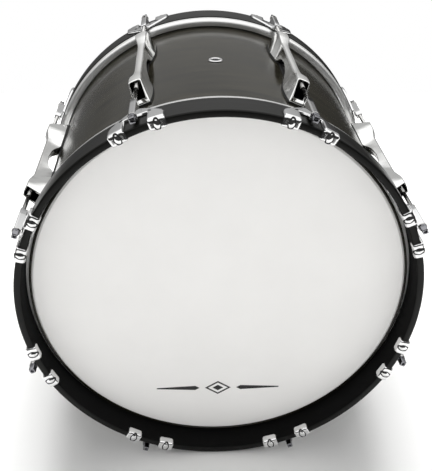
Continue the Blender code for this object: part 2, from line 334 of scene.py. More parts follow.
class End(Enum):
    """The drum's two ends; the value is the sign of Y there."""

    FRONT = -1
    REAR = 1

    @property
    def label(self) -> str:
        """Return the word that starts the CAD names at this end."""
        return self.name.lower()

    @property
    def hoop_body(self) -> str:
        """Return the body that the hoop, head and claws of this end belong to."""
        return f"{self.label}_hoop_group"


@dataclass(frozen=True)
class Layout:
    """Places and radii that the CAD frame fixes."""

    axis_height: float
    film_plane: float
    shell_radius: float
    shell_half: float
    hoop_radius: float
    hoop_front: float
    hoop_back: float
    flesh_top: float
    flesh_bottom: float
    flesh_radius: float
    rod_axis: float
    front_limit: float
    lugs: int = 8

    @classmethod
    def from_frame(cls) -> "Layout":
        """Read the places from the CAD nodes' boxes.

        Returns:
            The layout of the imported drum.
        """
        head_low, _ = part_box("front_head")
        shell_low, shell_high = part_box("shell")
        hoop_low, hoop_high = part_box("front_hoop")
        flesh_low, flesh_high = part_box("front_flesh_hoop")
        rod_low, rod_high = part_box("front_rod_1")
        axis_height = (hoop_low.z + hoop_high.z) / 2
        film_plane = -head_low.y
        middle = (rod_low + rod_high) / 2
        return cls(
            axis_height=axis_height,
            film_plane=film_plane,
            shell_radius=(shell_high.x - shell_low.x) / 2,
            shell_half=shell_high.y,
            hoop_radius=(hoop_high.x - hoop_low.x) / 2,
            hoop_front=-hoop_low.y - film_plane,
            hoop_back=-hoop_high.y - film_plane,
            flesh_top=-flesh_low.y - film_plane,
            flesh_bottom=-flesh_high.y - film_plane,
            flesh_radius=(flesh_high.x - flesh_low.x) / 2,
            rod_axis=math.hypot(middle.x, middle.z - axis_height),
            front_limit=-CAD_BOX[0].y - film_plane,
        )

    @property
    def step(self) -> float:
        """Return the angle between neighbouring lugs."""
        return math.tau / self.lugs

    def angle(self, number: int) -> float:
        """Return a lug's angle from the top of the drum, towards +X."""
        return (number - 0.5) * self.step

    def turned(self, end: End) -> Matrix:
        """Return the place of a turned piece at one end."""
        tip = Matrix.Rotation(-end.value * math.pi / 2, 4, "X")
        return Matrix.Translation((0, end.value * self.film_plane, self.axis_height)) @ tip


# Geometry node trees


def new_tree(name: str, sockets: Sequence[tuple[str, str]]) -> tuple[Tree, Node]:
    """Start a geometry node tree with named inputs.

    Args:
        name: Name of the tree.
        sockets: Each input's name and socket type, after the geometry.

    Returns:
        The tree and its input node.
    """
    tree = bpy.data.node_groups.new(name, "GeometryNodeTree")
    tree.interface.new_socket("Geometry", in_out="INPUT", socket_type="NodeSocketGeometry")
    tree.interface.new_socket("Geometry", in_out="OUTPUT", socket_type="NodeSocketGeometry")
    for label, kind in sockets:
        tree.interface.new_socket(label, in_out="INPUT", socket_type=kind)
    return tree, add_node(tree, "NodeGroupInput")


def close_tree(tree: Tree, geometry: Socket, finish: Socket) -> None:
    """End a tree in Realize Instances, Set Shade Smooth and Set Material.

    Args:
        tree: The tree to end.
        geometry: The geometry so far.
        finish: The material to set.
    """
    real = add_node(tree, "GeometryNodeRealizeInstances", {"Geometry": geometry})
    smooth = add_node(tree, "GeometryNodeSetShadeSmooth", {"Geometry": real.outputs[0]})
    dressed = add_node(tree, "GeometryNodeSetMaterial", {"Geometry": smooth.outputs[0], "Material": finish})
    add_node(tree, "NodeGroupOutput", {0: dressed.outputs[0]})


def run_tree(name: str, mesh: Mesh, tree: Tree, values: dict[str, object]) -> Mesh:
    """Run a tree on a mesh and return the result as a plain mesh.

    Args:
        name: Name of the new mesh.
        mesh: What the tree starts from.
        tree: The geometry node tree.
        values: The tree's named inputs.

    Returns:
        The plain mesh, with no modifier left on anything.
    """
    holder = holder_of(name, mesh)
    modifier = holder.modifiers.new("Build", "NODES")
    modifier.node_group = tree
    for item in tree.interface.items_tree:
        if item.in_out == "INPUT" and item.name in values:
            modifier[item.identifier] = values[item.name]
    result = evaluated_mesh(holder)
    result.name = name
    return result


class Lathe:
    """Turns a profile of (radius, height) points about local Z with a geometry node tree."""

    path_radius = 0.1

    def __init__(self) -> None:
        """Build the tree: the profile is swept along a circle and its poles are merged."""
        sockets = [("Sides", "NodeSocketInt"), ("Path Radius", "NodeSocketFloat"),
                   ("Finish", "NodeSocketMaterial")]
        tree, given = new_tree("turned_piece", sockets)
        profile = add_node(tree, "GeometryNodeMeshToCurve", {"Mesh": given.outputs["Geometry"]})
        circle = add_node(tree, "GeometryNodeCurvePrimitiveCircle",
                          {"Resolution": given.outputs["Sides"], "Radius": given.outputs["Path Radius"]})
        swept = add_node(tree, "GeometryNodeCurveToMesh",
                         {"Curve": circle.outputs["Curve"], "Profile Curve": profile.outputs["Curve"]})
        poles = add_node(tree, "GeometryNodeMergeByDistance",
                         {"Geometry": swept.outputs[0], "Distance": 1e-6})
        close_tree(tree, poles.outputs[0], given.outputs["Finish"])
        self.tree = tree

    def turn(self, name: str, profile: Sequence[Point], sides: int, finish: "Finish",
             place: Matrix = Matrix.Identity(4), closed: bool = True) -> Mesh:
        """Turn a profile.

        Args:
            name: Name of the mesh.
            profile: Points of (radius, height) in metres.
            sides: How many sides the turned piece has.
            finish: The piece's finish.
            place: Where local Z and its origin go.
            closed: Whether the profile is a loop; an open one starts and ends on the axis.

        Returns:
            The turned mesh in its place, with its faces pointing outwards.
        """
        count = len(profile)
        edges = [(i, (i + 1) % count) for i in range(count if closed else count - 1)]
        mesh = bpy.data.meshes.new(name)
        mesh.from_pydata([(r - self.path_radius, -h, 0) for r, h in profile], edges, [])
        values = {"Sides": sides, "Path Radius": self.path_radius, "Finish": finish.material()}
        turned = run_tree(name, mesh, self.tree, values)
        bm = bmesh.new()
        bm.from_mesh(turned)
        bmesh.ops.recalc_face_normals(bm, faces=bm.faces)
        bm.to_mesh(turned)
        bm.free()
        turned.transform(place)
        return turned


class Carousel:
    """Sets copies of a hardware piece round the drum with a geometry node tree."""

    def __init__(self, layout: Layout) -> None:
        """Build the tree: an instance for each lug, turned about the drum's axis and realised.

        Args:
            layout: The drum's layout.
        """
        sockets = [
            ("Count", "NodeSocketInt"), ("First Angle", "NodeSocketFloat"), ("Step", "NodeSocketFloat"),
            ("Depth", "NodeSocketFloat"), ("Axis Height", "NodeSocketFloat"),
            ("Face Turn", "NodeSocketFloat"), ("Finish", "NodeSocketMaterial"),
        ]
        tree, given = new_tree("round_the_drum", sockets)
        faced = add_node(tree, "ShaderNodeCombineXYZ", {"Z": given.outputs["Face Turn"]})
        piece = add_node(tree, "GeometryNodeTransform",
                         {"Geometry": given.outputs["Geometry"], "Rotation": faced.outputs[0]})
        spots = add_node(tree, "GeometryNodePoints", {"Count": given.outputs["Count"]})
        index = add_node(tree, "GeometryNodeInputIndex")
        turn = add_node(tree, "ShaderNodeMath",
                        {0: index.outputs[0], 1: given.outputs["Step"], 2: given.outputs["First Angle"]},
                        operation="MULTIPLY_ADD")
        euler = add_node(tree, "ShaderNodeCombineXYZ", {"Y": turn.outputs[0]})
        copies = add_node(tree, "GeometryNodeInstanceOnPoints",
                          {"Points": spots.outputs[0], "Instance": piece.outputs[0],
                           "Rotation": euler.outputs[0]})
        lift = add_node(tree, "ShaderNodeCombineXYZ",
                        {"Y": given.outputs["Depth"], "Z": given.outputs["Axis Height"]})
        moved = add_node(tree, "GeometryNodeTransform",
                         {"Geometry": copies.outputs[0], "Translation": lift.outputs[0]})
        close_tree(tree, moved.outputs[0], given.outputs["Finish"])
        self.tree = tree
        self.layout = layout

    def place(self, name: str, mesh: Mesh, finish: "Finish", end: End | None = None,
              number: int | None = None) -> Mesh:
        """Set a piece at every lug, or at one.

        Args:
            name: Name of the new mesh.
            mesh: The piece in the hardware frame, or in the lug's frame if there is no end.
            finish: The piece's finish.
            end: The end that the hardware frame belongs to; none puts local Y at the drum's middle.
            number: The one lug to use; none means all of them.

        Returns:
            The realised mesh.
        """
        layout = self.layout
        values = {
            "Count": layout.lugs if number is None else 1,
            "First Angle": layout.angle(number or 1),
            "Step": layout.step,
            "Depth": end.value * layout.film_plane if end else 0.0,
            "Axis Height": layout.axis_height,
            "Face Turn": math.pi if end is End.REAR else 0.0,
            "Finish": finish.material(),
        }
        return run_tree(name, mesh, self.tree, values)


class ThreadCutter:
    """Winds a screw thread along local Z with a geometry node tree."""

    crest_share = 0.36

    def __init__(self) -> None:
        """Build the tree: a spiral carries a small three-sided crest."""
        sockets = [("Turns", "NodeSocketFloat"), ("Radius", "NodeSocketFloat"), ("Length", "NodeSocketFloat"),
                   ("Crest", "NodeSocketFloat"), ("Finish", "NodeSocketMaterial")]
        tree, given = new_tree("screw_thread", sockets)
        spiral = add_node(tree, "GeometryNodeCurveSpiral",
                          {"Resolution": 14, "Rotations": given.outputs["Turns"],
                           "Start Radius": given.outputs["Radius"], "End Radius": given.outputs["Radius"],
                           "Height": given.outputs["Length"]})
        crest = add_node(tree, "GeometryNodeCurvePrimitiveCircle",
                         {"Resolution": 4, "Radius": given.outputs["Crest"]})
        swept = add_node(tree, "GeometryNodeCurveToMesh",
                         {"Curve": spiral.outputs["Curve"], "Profile Curve": crest.outputs["Curve"],
                          "Fill Caps": True})
        close_tree(tree, swept.outputs[0], given.outputs["Finish"])
        self.tree = tree

    def cut(self, radius: float, length: float, pitch: float, finish: "Finish") -> Mesh:
        """Return a thread of a length and pitch, from local Z 0 upwards.

        Args:
            radius: Radius of the crest's centre.
            length: Length along the axis.
            pitch: Travel in one turn.
            finish: The finish of the metal.

        Returns:
            The closed thread.
        """
        seed = bpy.data.meshes.new("seed")
        values = {"Turns": length / pitch, "Radius": radius, "Length": length,
                  "Crest": pitch * self.crest_share, "Finish": finish.material()}
        return run_tree("thread", seed, self.tree, values)


# Finishes


@dataclass(frozen=True)
class Finish:
    """A surface finish, made as one material with its own pattern."""

    name: str
    slot: str
    colour: str
    roughness: float
    metallic: float = 0.0
    coat: float = 0.0
    coat_roughness: float = 0.05
    specular: float = 0.5

    def material(self) -> bpy.types.Material:
        """Return the finish's material, which is made the first time.

        Returns:
            The material.
        """
        found = bpy.data.materials.get(self.name)
        if found:
            return found
        material = bpy.data.materials.new(self.name)
        material.use_nodes = True
        tree = material.node_tree
        tree.nodes.clear()
        shader = add_node(tree, "ShaderNodeBsdfPrincipled", {
            "Base Color": srgb(self.colour), "Roughness": self.roughness, "Metallic": self.metallic,
            "Coat Weight": self.coat, "Coat Roughness": self.coat_roughness,
            "Specular IOR Level": self.specular,
        })
        self.pattern(tree, shader)
        add_node(tree, "ShaderNodeOutputMaterial", {"Surface": shader.outputs[0]})
        return material

    def pattern(self, tree: Tree, shader: Node) -> None:
        """Add the finish's own pattern; a plain finish has a faint unevenness of gloss."""
        self.uneven_gloss(tree, shader, size=12.0, amount=0.04)

    def spots(self, tree: Tree, scale: Sequence[float], detail: float = 3.0) -> Socket:
        """Return a noise on object coordinates, with a scale for each axis in repeats per metre.

        Args:
            tree: The tree that the nodes go into.
            scale: Repeats per metre along X, Y and Z.
            detail: How many finer layers the noise has.

        Returns:
            The noise, from 0 to 1.
        """
        place = add_node(tree, "ShaderNodeTexCoord")
        mapped = add_node(tree, "ShaderNodeMapping",
                          {"Vector": place.outputs["Object"], "Scale": tuple(scale)})
        noise = add_node(tree, "ShaderNodeTexNoise",
                         {"Vector": mapped.outputs[0], "Scale": 1.0, "Detail": detail, "Roughness": 0.55})
        return noise.outputs["Fac"]

    def gloss(self, tree: Tree, noise: Socket, low: float, high: float) -> Socket:
        """Return a roughness between two values, which follows a noise."""
        return add_node(tree, "ShaderNodeMapRange", {0: noise, 1: 0.3, 2: 0.7, 3: low, 4: high}).outputs[0]

    def uneven_gloss(self, tree: Tree, shader: Node, size: float, amount: float) -> None:
        """Vary the roughness by an amount either way, in patches of a size in millimetres.

        Args:
            tree: The tree that the nodes go into.
            shader: The material's shader.
            size: Size of the patches in millimetres.
            amount: Change in roughness either way.
        """
        noise = self.spots(tree, (per_mm(size),) * 3)
        low, high = max(0.02, self.roughness - amount), self.roughness + amount
        tree.links.new(self.gloss(tree, noise, low, high), shader.inputs["Roughness"])

    def brushed_tops(self, tree: Tree, shader: Node, size: float, satin: float) -> None:
        """Set the roughness, which rises to a satin value where the attribute brushed is 1.

        Args:
            tree: The material's tree.
            shader: Its shader.
            size: Size in millimetres of the patches in which the gloss varies.
            satin: Roughness of the brushed faces.
        """
        self.uneven_gloss(tree, shader, size=size, amount=0.03)
        polished = shader.inputs["Roughness"].links[0].from_socket
        marked = add_node(tree, "ShaderNodeAttribute", attribute_name="brushed")
        both = add_node(tree, "ShaderNodeMix", {0: marked.outputs["Fac"], 2: polished, 3: satin})
        tree.links.new(both.outputs[0], shader.inputs["Roughness"])

    def bump(self, tree: Tree, shader: Node, height: Socket,
             depth: float, strength: float = 1.0) -> None:
        """Raise the surface by a height from 0 to 1, with a depth in millimetres."""
        made = add_node(tree, "ShaderNodeBump",
                        {"Height": height, "Distance": depth * MM, "Strength": strength})
        tree.links.new(made.outputs[0], shader.inputs["Normal"])

    def tinted(self, tree: Tree, shader: Node, factor: Socket,
               low: str, high: str) -> None:
        """Mix the base colour between two sRGB codes by a factor."""
        mix = add_node(tree, "ShaderNodeMix", {0: factor, 6: srgb(low), 7: srgb(high)}, data_type="RGBA")
        tree.links.new(mix.outputs[2], shader.inputs["Base Color"])


@dataclass(frozen=True)
class StainedVeneer(Finish):
    """Maple veneer, stained and lacquered: long grain round the drum, with fine dark pores.

    The grain is a few tenths of a millimetre wide on real maple; it is drawn about twice as wide so
    that it shows.  Inside a given radius, on the inner faces of the shell and the hoop, the wood is painted
    near black as shade and has no lacquer.
    """

    dark: str = "#2A2926"
    light: str = "#3B3A35"
    # Painted shade: the near-black colour inside the radius below, on the inner faces.
    inner_shade: str = "#030303"
    axis_height: float = 0.0
    inner_shade_radius: float = 0.0
    grain: float = 1.1
    figure: float = 14.0
    relief: float = 0.012

    def pattern(self, tree: Tree, shader: Node) -> None:
        """Draw grain lines that follow the circumference, also on a hoop's edge.

        Args:
            tree: The material's tree.
            shader: The material's shader.
        """
        place = add_node(tree, "ShaderNodeTexCoord")
        centred = add_node(tree, "ShaderNodeMapping",
                           {"Vector": place.outputs["Object"], "Location": (0, 0, -self.axis_height)})
        parts = add_node(tree, "ShaderNodeSeparateXYZ", {0: centred.outputs[0]})
        flat = add_node(tree, "ShaderNodeCombineXYZ", {"X": parts.outputs["X"], "Z": parts.outputs["Z"]})
        radius = add_node(tree, "ShaderNodeVectorMath", {0: flat.outputs[0]}, operation="LENGTH")
        across = add_node(tree, "ShaderNodeMath", {0: parts.outputs["Y"], 1: radius.outputs["Value"]})
        vector = add_node(tree, "ShaderNodeCombineXYZ",
                          {"X": parts.outputs["X"], "Y": across.outputs[0], "Z": parts.outputs["Z"]})

        def streaks(width: float, length: float, detail: float) -> Socket:
            """Return streaks of a width across the grain and a length along it, in millimetres.

            Args:
                width: Width of a streak.
                length: Length of a streak.
                detail: How many finer layers the noise has.

            Returns:
                The noise, from 0 to 1.
            """
            scaled = add_node(tree, "ShaderNodeMapping", {
                "Vector": vector.outputs[0],
                "Scale": (per_mm(length), per_mm(width), per_mm(length))})
            noise = add_node(tree, "ShaderNodeTexNoise",
                             {"Vector": scaled.outputs[0], "Scale": 1.0, "Detail": detail, "Roughness": 0.6})
            return noise.outputs["Fac"]

        lines = streaks(self.grain, 60.0, 4.0)
        figure = streaks(self.figure, 110.0, 2.0)
        pores = streaks(0.5, 7.0, 1.0)
        deep = add_node(tree, "ShaderNodeMapRange", {0: pores, 1: 0.62, 2: 0.72, 3: 0.0, 4: 0.35})
        blend = add_node(tree, "ShaderNodeMath", {0: lines, 1: figure})
        shade = add_node(tree, "ShaderNodeMapRange", {0: blend.outputs[0], 1: 0.75, 2: 1.25, 3: 0.0, 4: 1.0})
        less = add_node(tree, "ShaderNodeMath", {0: shade.outputs[0], 1: deep.outputs[0]},
                        operation="SUBTRACT", use_clamp=True)
        # Painted shade: inside the radius the colour turns near black and the gloss goes fully rough.
        inside = add_node(tree, "ShaderNodeMapRange", {
            0: radius.outputs["Value"], 1: self.inner_shade_radius - 0.3 * MM, 2: self.inner_shade_radius, 3: 1.0, 4: 0.0})
        wood = add_node(tree, "ShaderNodeMix", {0: less.outputs[0], 6: srgb(self.dark), 7: srgb(self.light)},
                        data_type="RGBA")
        colour = add_node(tree, "ShaderNodeMix",
                          {0: inside.outputs[0], 6: wood.outputs[2], 7: srgb(self.inner_shade)}, data_type="RGBA")
        gloss = self.gloss(tree, figure, self.roughness - 0.04, self.roughness + 0.04)
        rough = add_node(tree, "ShaderNodeMix", {0: inside.outputs[0], 2: gloss, 3: 1.0})
        tree.links.new(colour.outputs[2], shader.inputs["Base Color"])
        tree.links.new(rough.outputs[0], shader.inputs["Roughness"])
        self.bump(tree, shader, lines, depth=self.relief)


@dataclass(frozen=True)
class DrumFilm(Finish):
    """White polyester film: a very fine matt tooth and a slightly warm white."""

    def pattern(self, tree: Tree, shader: Node) -> None:
        """Add the tooth and a faint cloudiness.

        Args:
            tree: The material's tree.
            shader: The material's shader.
        """
        cloud = self.spots(tree, (per_mm(60.0),) * 3, detail=2.0)
        self.tinted(tree, shader, cloud, "#EBEAE8", "#F1F0EE")
        self.uneven_gloss(tree, shader, size=40.0, amount=0.05)
        tooth = self.spots(tree, (per_mm(0.8),) * 3, detail=1.0)
        self.bump(tree, shader, tooth, depth=0.004)


@dataclass(frozen=True)
class CastMetal(Finish):
    """Plated die casting: polished flanks, brushed tops and a fine sand-like grain of about 0.4 mm.

    In the hollows of the mouths a mesh attribute is 1, and there the colour is painted dark as shade.
    """

    # Painted shade: the dark colour of the hollows inside the mouths.
    hollow_shade: str = "#2C2C2A"

    def pattern(self, tree: Tree, shader: Node) -> None:
        """Add the grain, the brushed tops and the painted shade in the hollows.

        Args:
            tree: The material's tree.
            shader: The material's shader.
        """
        self.brushed_tops(tree, shader, size=9.0, satin=0.4)
        # Painted shade: the marked hollows are tinted dark.
        hollow = add_node(tree, "ShaderNodeAttribute", attribute_name="painted_hollow_shade")
        self.tinted(tree, shader, hollow.outputs["Fac"], self.colour, self.hollow_shade)
        grain = self.spots(tree, (per_mm(0.4),) * 3, detail=2.0)
        self.bump(tree, shader, grain, depth=0.003)


@dataclass(frozen=True)
class BrightPlate(Finish):
    """Chrome or nickel plate: mirror bright with a slow ripple of the metal below, satin on brushed tops."""

    ripple: float = 5.0
    depth: float = 0.012

    def pattern(self, tree: Tree, shader: Node) -> None:
        """Add the ripple, faint wiping marks in the gloss and the satin tops.

        Args:
            tree: The material's tree.
            shader: The material's shader.
        """
        self.brushed_tops(tree, shader, size=6.0, satin=0.36)
        wave = self.spots(tree, (per_mm(self.ripple),) * 3, detail=1.0)
        self.bump(tree, shader, wave, depth=self.depth)


@dataclass(frozen=True)
class RolledMetal(Finish):
    """Rolled and polished aluminium: fine lines that run round the ring, 0.3 mm apart."""

    def pattern(self, tree: Tree, shader: Node) -> None:
        """Draw the rolling lines with a noise that is long along the ring and short across it.

        Args:
            tree: The material's tree.
            shader: The material's shader.
        """
        lines = self.spots(tree, (per_mm(80.0), per_mm(0.3), per_mm(80.0)), detail=2.0)
        spread = self.gloss(tree, lines, self.roughness - 0.05, self.roughness + 0.08)
        tree.links.new(spread, shader.inputs["Roughness"])
        self.bump(tree, shader, lines, depth=0.004)


@dataclass(frozen=True)
class MouldedRubber(Finish):
    """Moulded black rubber: dull, with a faint bloom and a pitted skin of about 0.6 mm."""

    def pattern(self, tree: Tree, shader: Node) -> None:
        """Add the bloom and the pits.

        Args:
            tree: The material's tree.
            shader: The material's shader.
        """
        bloom = self.spots(tree, (per_mm(7.0),) * 3, detail=3.0)
        self.tinted(tree, shader, bloom, "#0B0B0B", "#1A1A1A")
        pits = self.spots(tree, (per_mm(0.6),) * 3, detail=1.0)
        self.bump(tree, shader, pits, depth=0.02)


@dataclass(frozen=True)
class Finishes:
    """All the drum's finishes."""

    shell: Finish
    hoop: Finish
    film: Finish = DrumFilm("white_drum_film", "film", "#EEEDEB", 0.5, specular=0.35)
    ink: Finish = Finish("black_screen_ink", "film", "#141414", 0.45)
    # The casting's material also paints shade dark in the mouths' hollows.
    cast: Finish = CastMetal("satin_plated_casting", "cast_metal", "#EEEEEC", 0.1, metallic=1.0)
    chrome: Finish = BrightPlate("chrome_plate", "chrome_plate", "#F0F0EF", 0.06, metallic=1.0)
    steel: Finish = BrightPlate("nickel_plated_steel", "plated_steel", "#D9D8D6", 0.14, metallic=1.0)
    grey_steel: Finish = BrightPlate("grey_nickel_plate", "plated_steel", "#8E8E92", 0.16, metallic=1.0)
    aluminium: Finish = RolledMetal("rolled_aluminium", "rolled_aluminium", "#F2F1EF", 0.2, metallic=1.0)
    rubber: Finish = MouldedRubber("moulded_rubber", "rubber", "#101010", 0.75)

    @classmethod
    def for_drum(cls, layout: Layout) -> "Finishes":
        """Return the finishes, with the wood grain centred on the drum's axis.

        Args:
            layout: The drum's layout.

        Returns:
            The set of finishes.
        """
        # The inner faces of shell and hoop, inside the given radii, get the painted shade.
        shell = StainedVeneer("charcoal_stained_veneer", "shell_lacquer", "#191814", 0.17, specular=0.24,
                              dark="#12110D", light="#24221B", axis_height=layout.axis_height,
                              inner_shade_radius=layout.shell_radius - 7 * MM)
        hoop = StainedVeneer("black_stained_hoop", "hoop_lacquer", "#0A0A09", 0.36, specular=0.2,
                             dark="#060605", light="#0E0E0C", axis_height=layout.axis_height, grain=0.8,
                             figure=9.0, inner_shade_radius=layout.hoop_radius - 8 * MM)
        return cls(shell=shell, hoop=hoop)


# The workshop: tools and finishes that every sub-assembly shares


@dataclass
class Workshop:
    """The shared layout, finishes and node trees."""

    layout: Layout
    finishes: Finishes
    lathe: Lathe
    carousel: Carousel
    threads: ThreadCutter

    def fit(self, name: str, mesh: Mesh, finish: Finish, body: str,
            replaced: Iterable[str] = (), sharp: float = 32.0) -> bpy.types.Object:
        """Make a finished piece that rides on a body.

        Args:
            name: Name of the piece.
            mesh: Its mesh, already in place.
            finish: Its finish.
            body: The CAD body that it moves with.
            replaced: CAD nodes that it stands for.
            sharp: Edges that turn by more degrees than this stay crisp.

        Returns:
            The piece.
        """
        mesh.materials.clear()
        mesh.materials.append(finish.material())
        mesh.shade_smooth()
        mesh.set_sharp_from_angle(angle=math.radians(sharp))
        piece = holder_of(name, mesh)
        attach(piece, body)
        nodes = list(replaced)
        if nodes:
            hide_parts(*nodes)
        LOG.info("%s: %d faces on %s", name, len(mesh.polygons), body)
        return piece


# Shell


@dataclass
class Shell:
    """Wooden shell with its bearing edges, vent hole and screw holes."""

    shop: Workshop
    wall: float = 7.5 * MM
    bearing_height: float = 5.0 * MM
    bearing_crown: float = 1.6 * MM
    vent_radius: float = 6.6 * MM
    screw_radius: float = 3.0 * MM
    screw_place: float = 84 * MM
    sides: int = 288

    def profile(self) -> list[Point]:
        """Return the wall's section, with a rounded outer edge and a 45 degree inner cut at both ends.

        Returns:
            Points of (radius, height) round the wall.
        """
        outer = self.shop.layout.shell_radius
        half = self.shop.layout.shell_half
        crown = self.bearing_crown
        peak = outer - crown
        near = self.screw_place - self.screw_radius * 3
        rows = [0.0, 12 * MM, 60 * MM, self.shop.layout.film_plane - near]
        one_end = [(outer, h) for h in rows]
        one_end += arc((peak, half - crown), crown, 0, 90, 5)
        one_end += [(outer - self.wall, half - self.bearing_height), (outer - self.wall, 0.0)]
        other = [(r, -h) for r, h in reversed(one_end[1:-1])]
        return one_end[:-1] + other

    def drill(self) -> Mesh:
        """Return the cutter for the vent and for all the lug screws.

        Returns:
            The pins as one mesh.
        """
        layout = self.shop.layout
        bm = bmesh.new()

        def bit(radius: float, around: float, along: float) -> None:
            """Add one pin that passes through the wall.

            Args:
                radius: Radius of the hole.
                around: Its angle from the top.
                along: Its place on the drum's axis.
            """
            place = (Matrix.Translation((0, along, layout.axis_height)) @ Matrix.Rotation(around, 4, "Y")
                     @ Matrix.Translation((0, 0, layout.shell_radius)))
            pin(bm, radius, 4 * self.wall, place)

        bit(self.vent_radius, 0.0, 0.0)
        for number in range(1, layout.lugs + 1):
            for end in End:
                along = end.value * (layout.film_plane - self.screw_place)
                bit(self.screw_radius, layout.angle(number), along)
        return finish_bmesh(bm, "drill")

    def build(self) -> None:
        """Turn the shell, drill it and dress it."""
        layout = self.shop.layout
        place = Matrix.Translation((0, 0, layout.axis_height)) @ Matrix.Rotation(math.pi / 2, 4, "X")
        finish = self.shop.finishes.shell
        blank = self.shop.lathe.turn("shell_blank", self.profile(), self.sides, finish, place)
        self.shop.fit("shell_lacquered", carved(blank, self.drill()), finish, "root", ["shell"])


# Heads


@dataclass
class Head:
    """Film with its collar, and the metal ring that it is crimped into."""

    shop: Workshop
    film: float = 0.35 * MM
    flat_radius: float = 224.6 * MM
    collar_radius: float = 230.1 * MM
    collar_depth: float = 14.5 * MM
    rim_round: float = 2.2 * MM
    inner_radius: float = 230.6 * MM
    lip: float = 1.0 * MM
    foot_radius: float = 233.9 * MM
    sides: int = 288

    def film_profile(self) -> list[Point]:
        """Return the film's section from the middle, over the bearing edge and down the collar.

        Returns:
            Points of (radius, height) from axis to axis.
        """
        slope = math.atan2(5 * MM, self.collar_radius - self.flat_radius)
        outside = [(0.0, 0.0), (self.flat_radius * 0.5, 0.0), (self.flat_radius - self.rim_round, 0.0)]
        crown = arc((self.flat_radius - self.rim_round, -self.rim_round), self.rim_round, 90,
                    90 - math.degrees(slope), 5)[1:]
        outside += crown
        outside += [(self.collar_radius, -6.5 * MM), (self.collar_radius, -self.collar_depth)]
        inside = [(r - self.film * 0.8, h - self.film * 0.8) for r, h in reversed(outside[1:-1])]
        foot = [(self.collar_radius - self.film, -self.collar_depth)]
        return outside + foot + inside + [(0.0, -self.film)]

    def ring_profile(self) -> list[Point]:
        """Return the flesh hoop's section: a channel with a rolled lip, curved in towards the shell below.

        Returns:
            Points of (radius, height) round the section.
        """
        layout = self.shop.layout
        top = layout.flesh_top
        bottom = layout.flesh_bottom
        outer = layout.flesh_radius
        skirt = bottom + 5.2 * MM
        foot = self.foot_radius
        points = [(self.inner_radius, top)]
        points += arc((outer - self.lip, top - self.lip), self.lip, 90, 0, 4)
        points += [(outer, top - 2.4 * MM), (outer - 0.25 * MM, top - 2.7 * MM), (outer - 0.25 * MM, skirt)]
        for turn in (20, 38, 54, 70, 84):
            angle = math.radians(turn)
            reach = outer - 0.25 * MM - foot
            points.append((foot + reach * math.cos(angle), skirt - (skirt - bottom) * math.sin(angle)))
        points += [(foot - 0.3 * MM, bottom), (self.inner_radius, bottom)]
        return points

    def build(self, end: End) -> None:
        """Build the head at one end.

        Args:
            end: Which end of the drum.
        """
        place = self.shop.layout.turned(end)
        label = end.label
        film_finish = self.shop.finishes.film
        film = self.shop.lathe.turn("film", self.film_profile(), self.sides, film_finish, place, closed=False)
        self.shop.fit(f"{label}_head_film", film, film_finish, end.hoop_body, [f"{label}_head"])
        ring_finish = self.shop.finishes.aluminium
        ring = self.shop.lathe.turn("ring", self.ring_profile(), self.sides, ring_finish, place)
        self.shop.fit(f"{label}_flesh_ring", ring, ring_finish, end.hoop_body, [f"{label}_flesh_hoop"])


@dataclass
class Ornament:
    """Plain printed ornament on the front head: a lozenge between two tapering bars."""

    shop: Workshop
    height: float = 0.0865
    lozenge_width: float = 34 * MM
    lozenge_height: float = 22 * MM
    rim: float = 4 * MM
    bar_length: float = 56 * MM
    bar_height: float = 7 * MM
    gap: float = 7 * MM
    ink: float = 0.06 * MM

    def outlines(self) -> list[list[Point]]:
        """Return the closed outlines in the film's plane.

        Returns:
            The inner lozenge and both bars.
        """
        wide = self.lozenge_width / 2
        high = self.lozenge_height / 2
        start = wide + self.gap
        tip = start + self.bar_length
        half = self.bar_height / 2
        bar = [(start, 0.0), (start + half * 1.6, half), (tip, half * 0.25), (tip, -half * 0.25),
               (start + half * 1.6, -half)]
        heart = [(wide * 0.42, 0.0), (0.0, high * 0.42), (-wide * 0.42, 0.0), (0.0, -high * 0.42)]
        return [heart, bar, [(-x, z) for x, z in bar]]

    def frame_ring(self) -> tuple[list[Point], list[Point]]:
        """Return the outer and inner outline of the lozenge's border.

        Returns:
            The outer outline, then the inner one.
        """
        wide = self.lozenge_width / 2
        high = self.lozenge_height / 2
        outer = [(wide, 0.0), (0.0, high), (-wide, 0.0), (0.0, -high)]
        share = 1 - self.rim / wide
        return outer, [(x * share, z * share) for x, z in outer]

    def build(self) -> None:
        """Print the ornament as a thin layer of ink."""
        layout = self.shop.layout
        back = -layout.film_plane
        bm = bmesh.new()

        def layer(point: Point, lift: float) -> bmesh.types.BMVert:
            """Add a point of the print at a height over the film."""
            return bm.verts.new((point[0], back - lift, self.height + point[1]))

        for outline in self.outlines():
            low = [layer(p, 0.01 * MM) for p in outline]
            high = [layer(p, self.ink) for p in outline]
            bm.faces.new(low)
            bm.faces.new(high)
            band(bm, low, high)
        outer, inner = self.frame_ring()
        loops = [[layer(p, lift) for p in loop] for loop, lift in
                 ((outer, 0.01 * MM), (outer, self.ink), (inner, self.ink), (inner, 0.01 * MM))]
        for first, second in zip(loops, loops[1:] + loops[:1]):
            band(bm, first, second)
        mesh = finish_bmesh(bm, "ornament")
        self.shop.fit("front_head_ornament", mesh, self.shop.finishes.ink, End.FRONT.hoop_body)


# Counterhoops


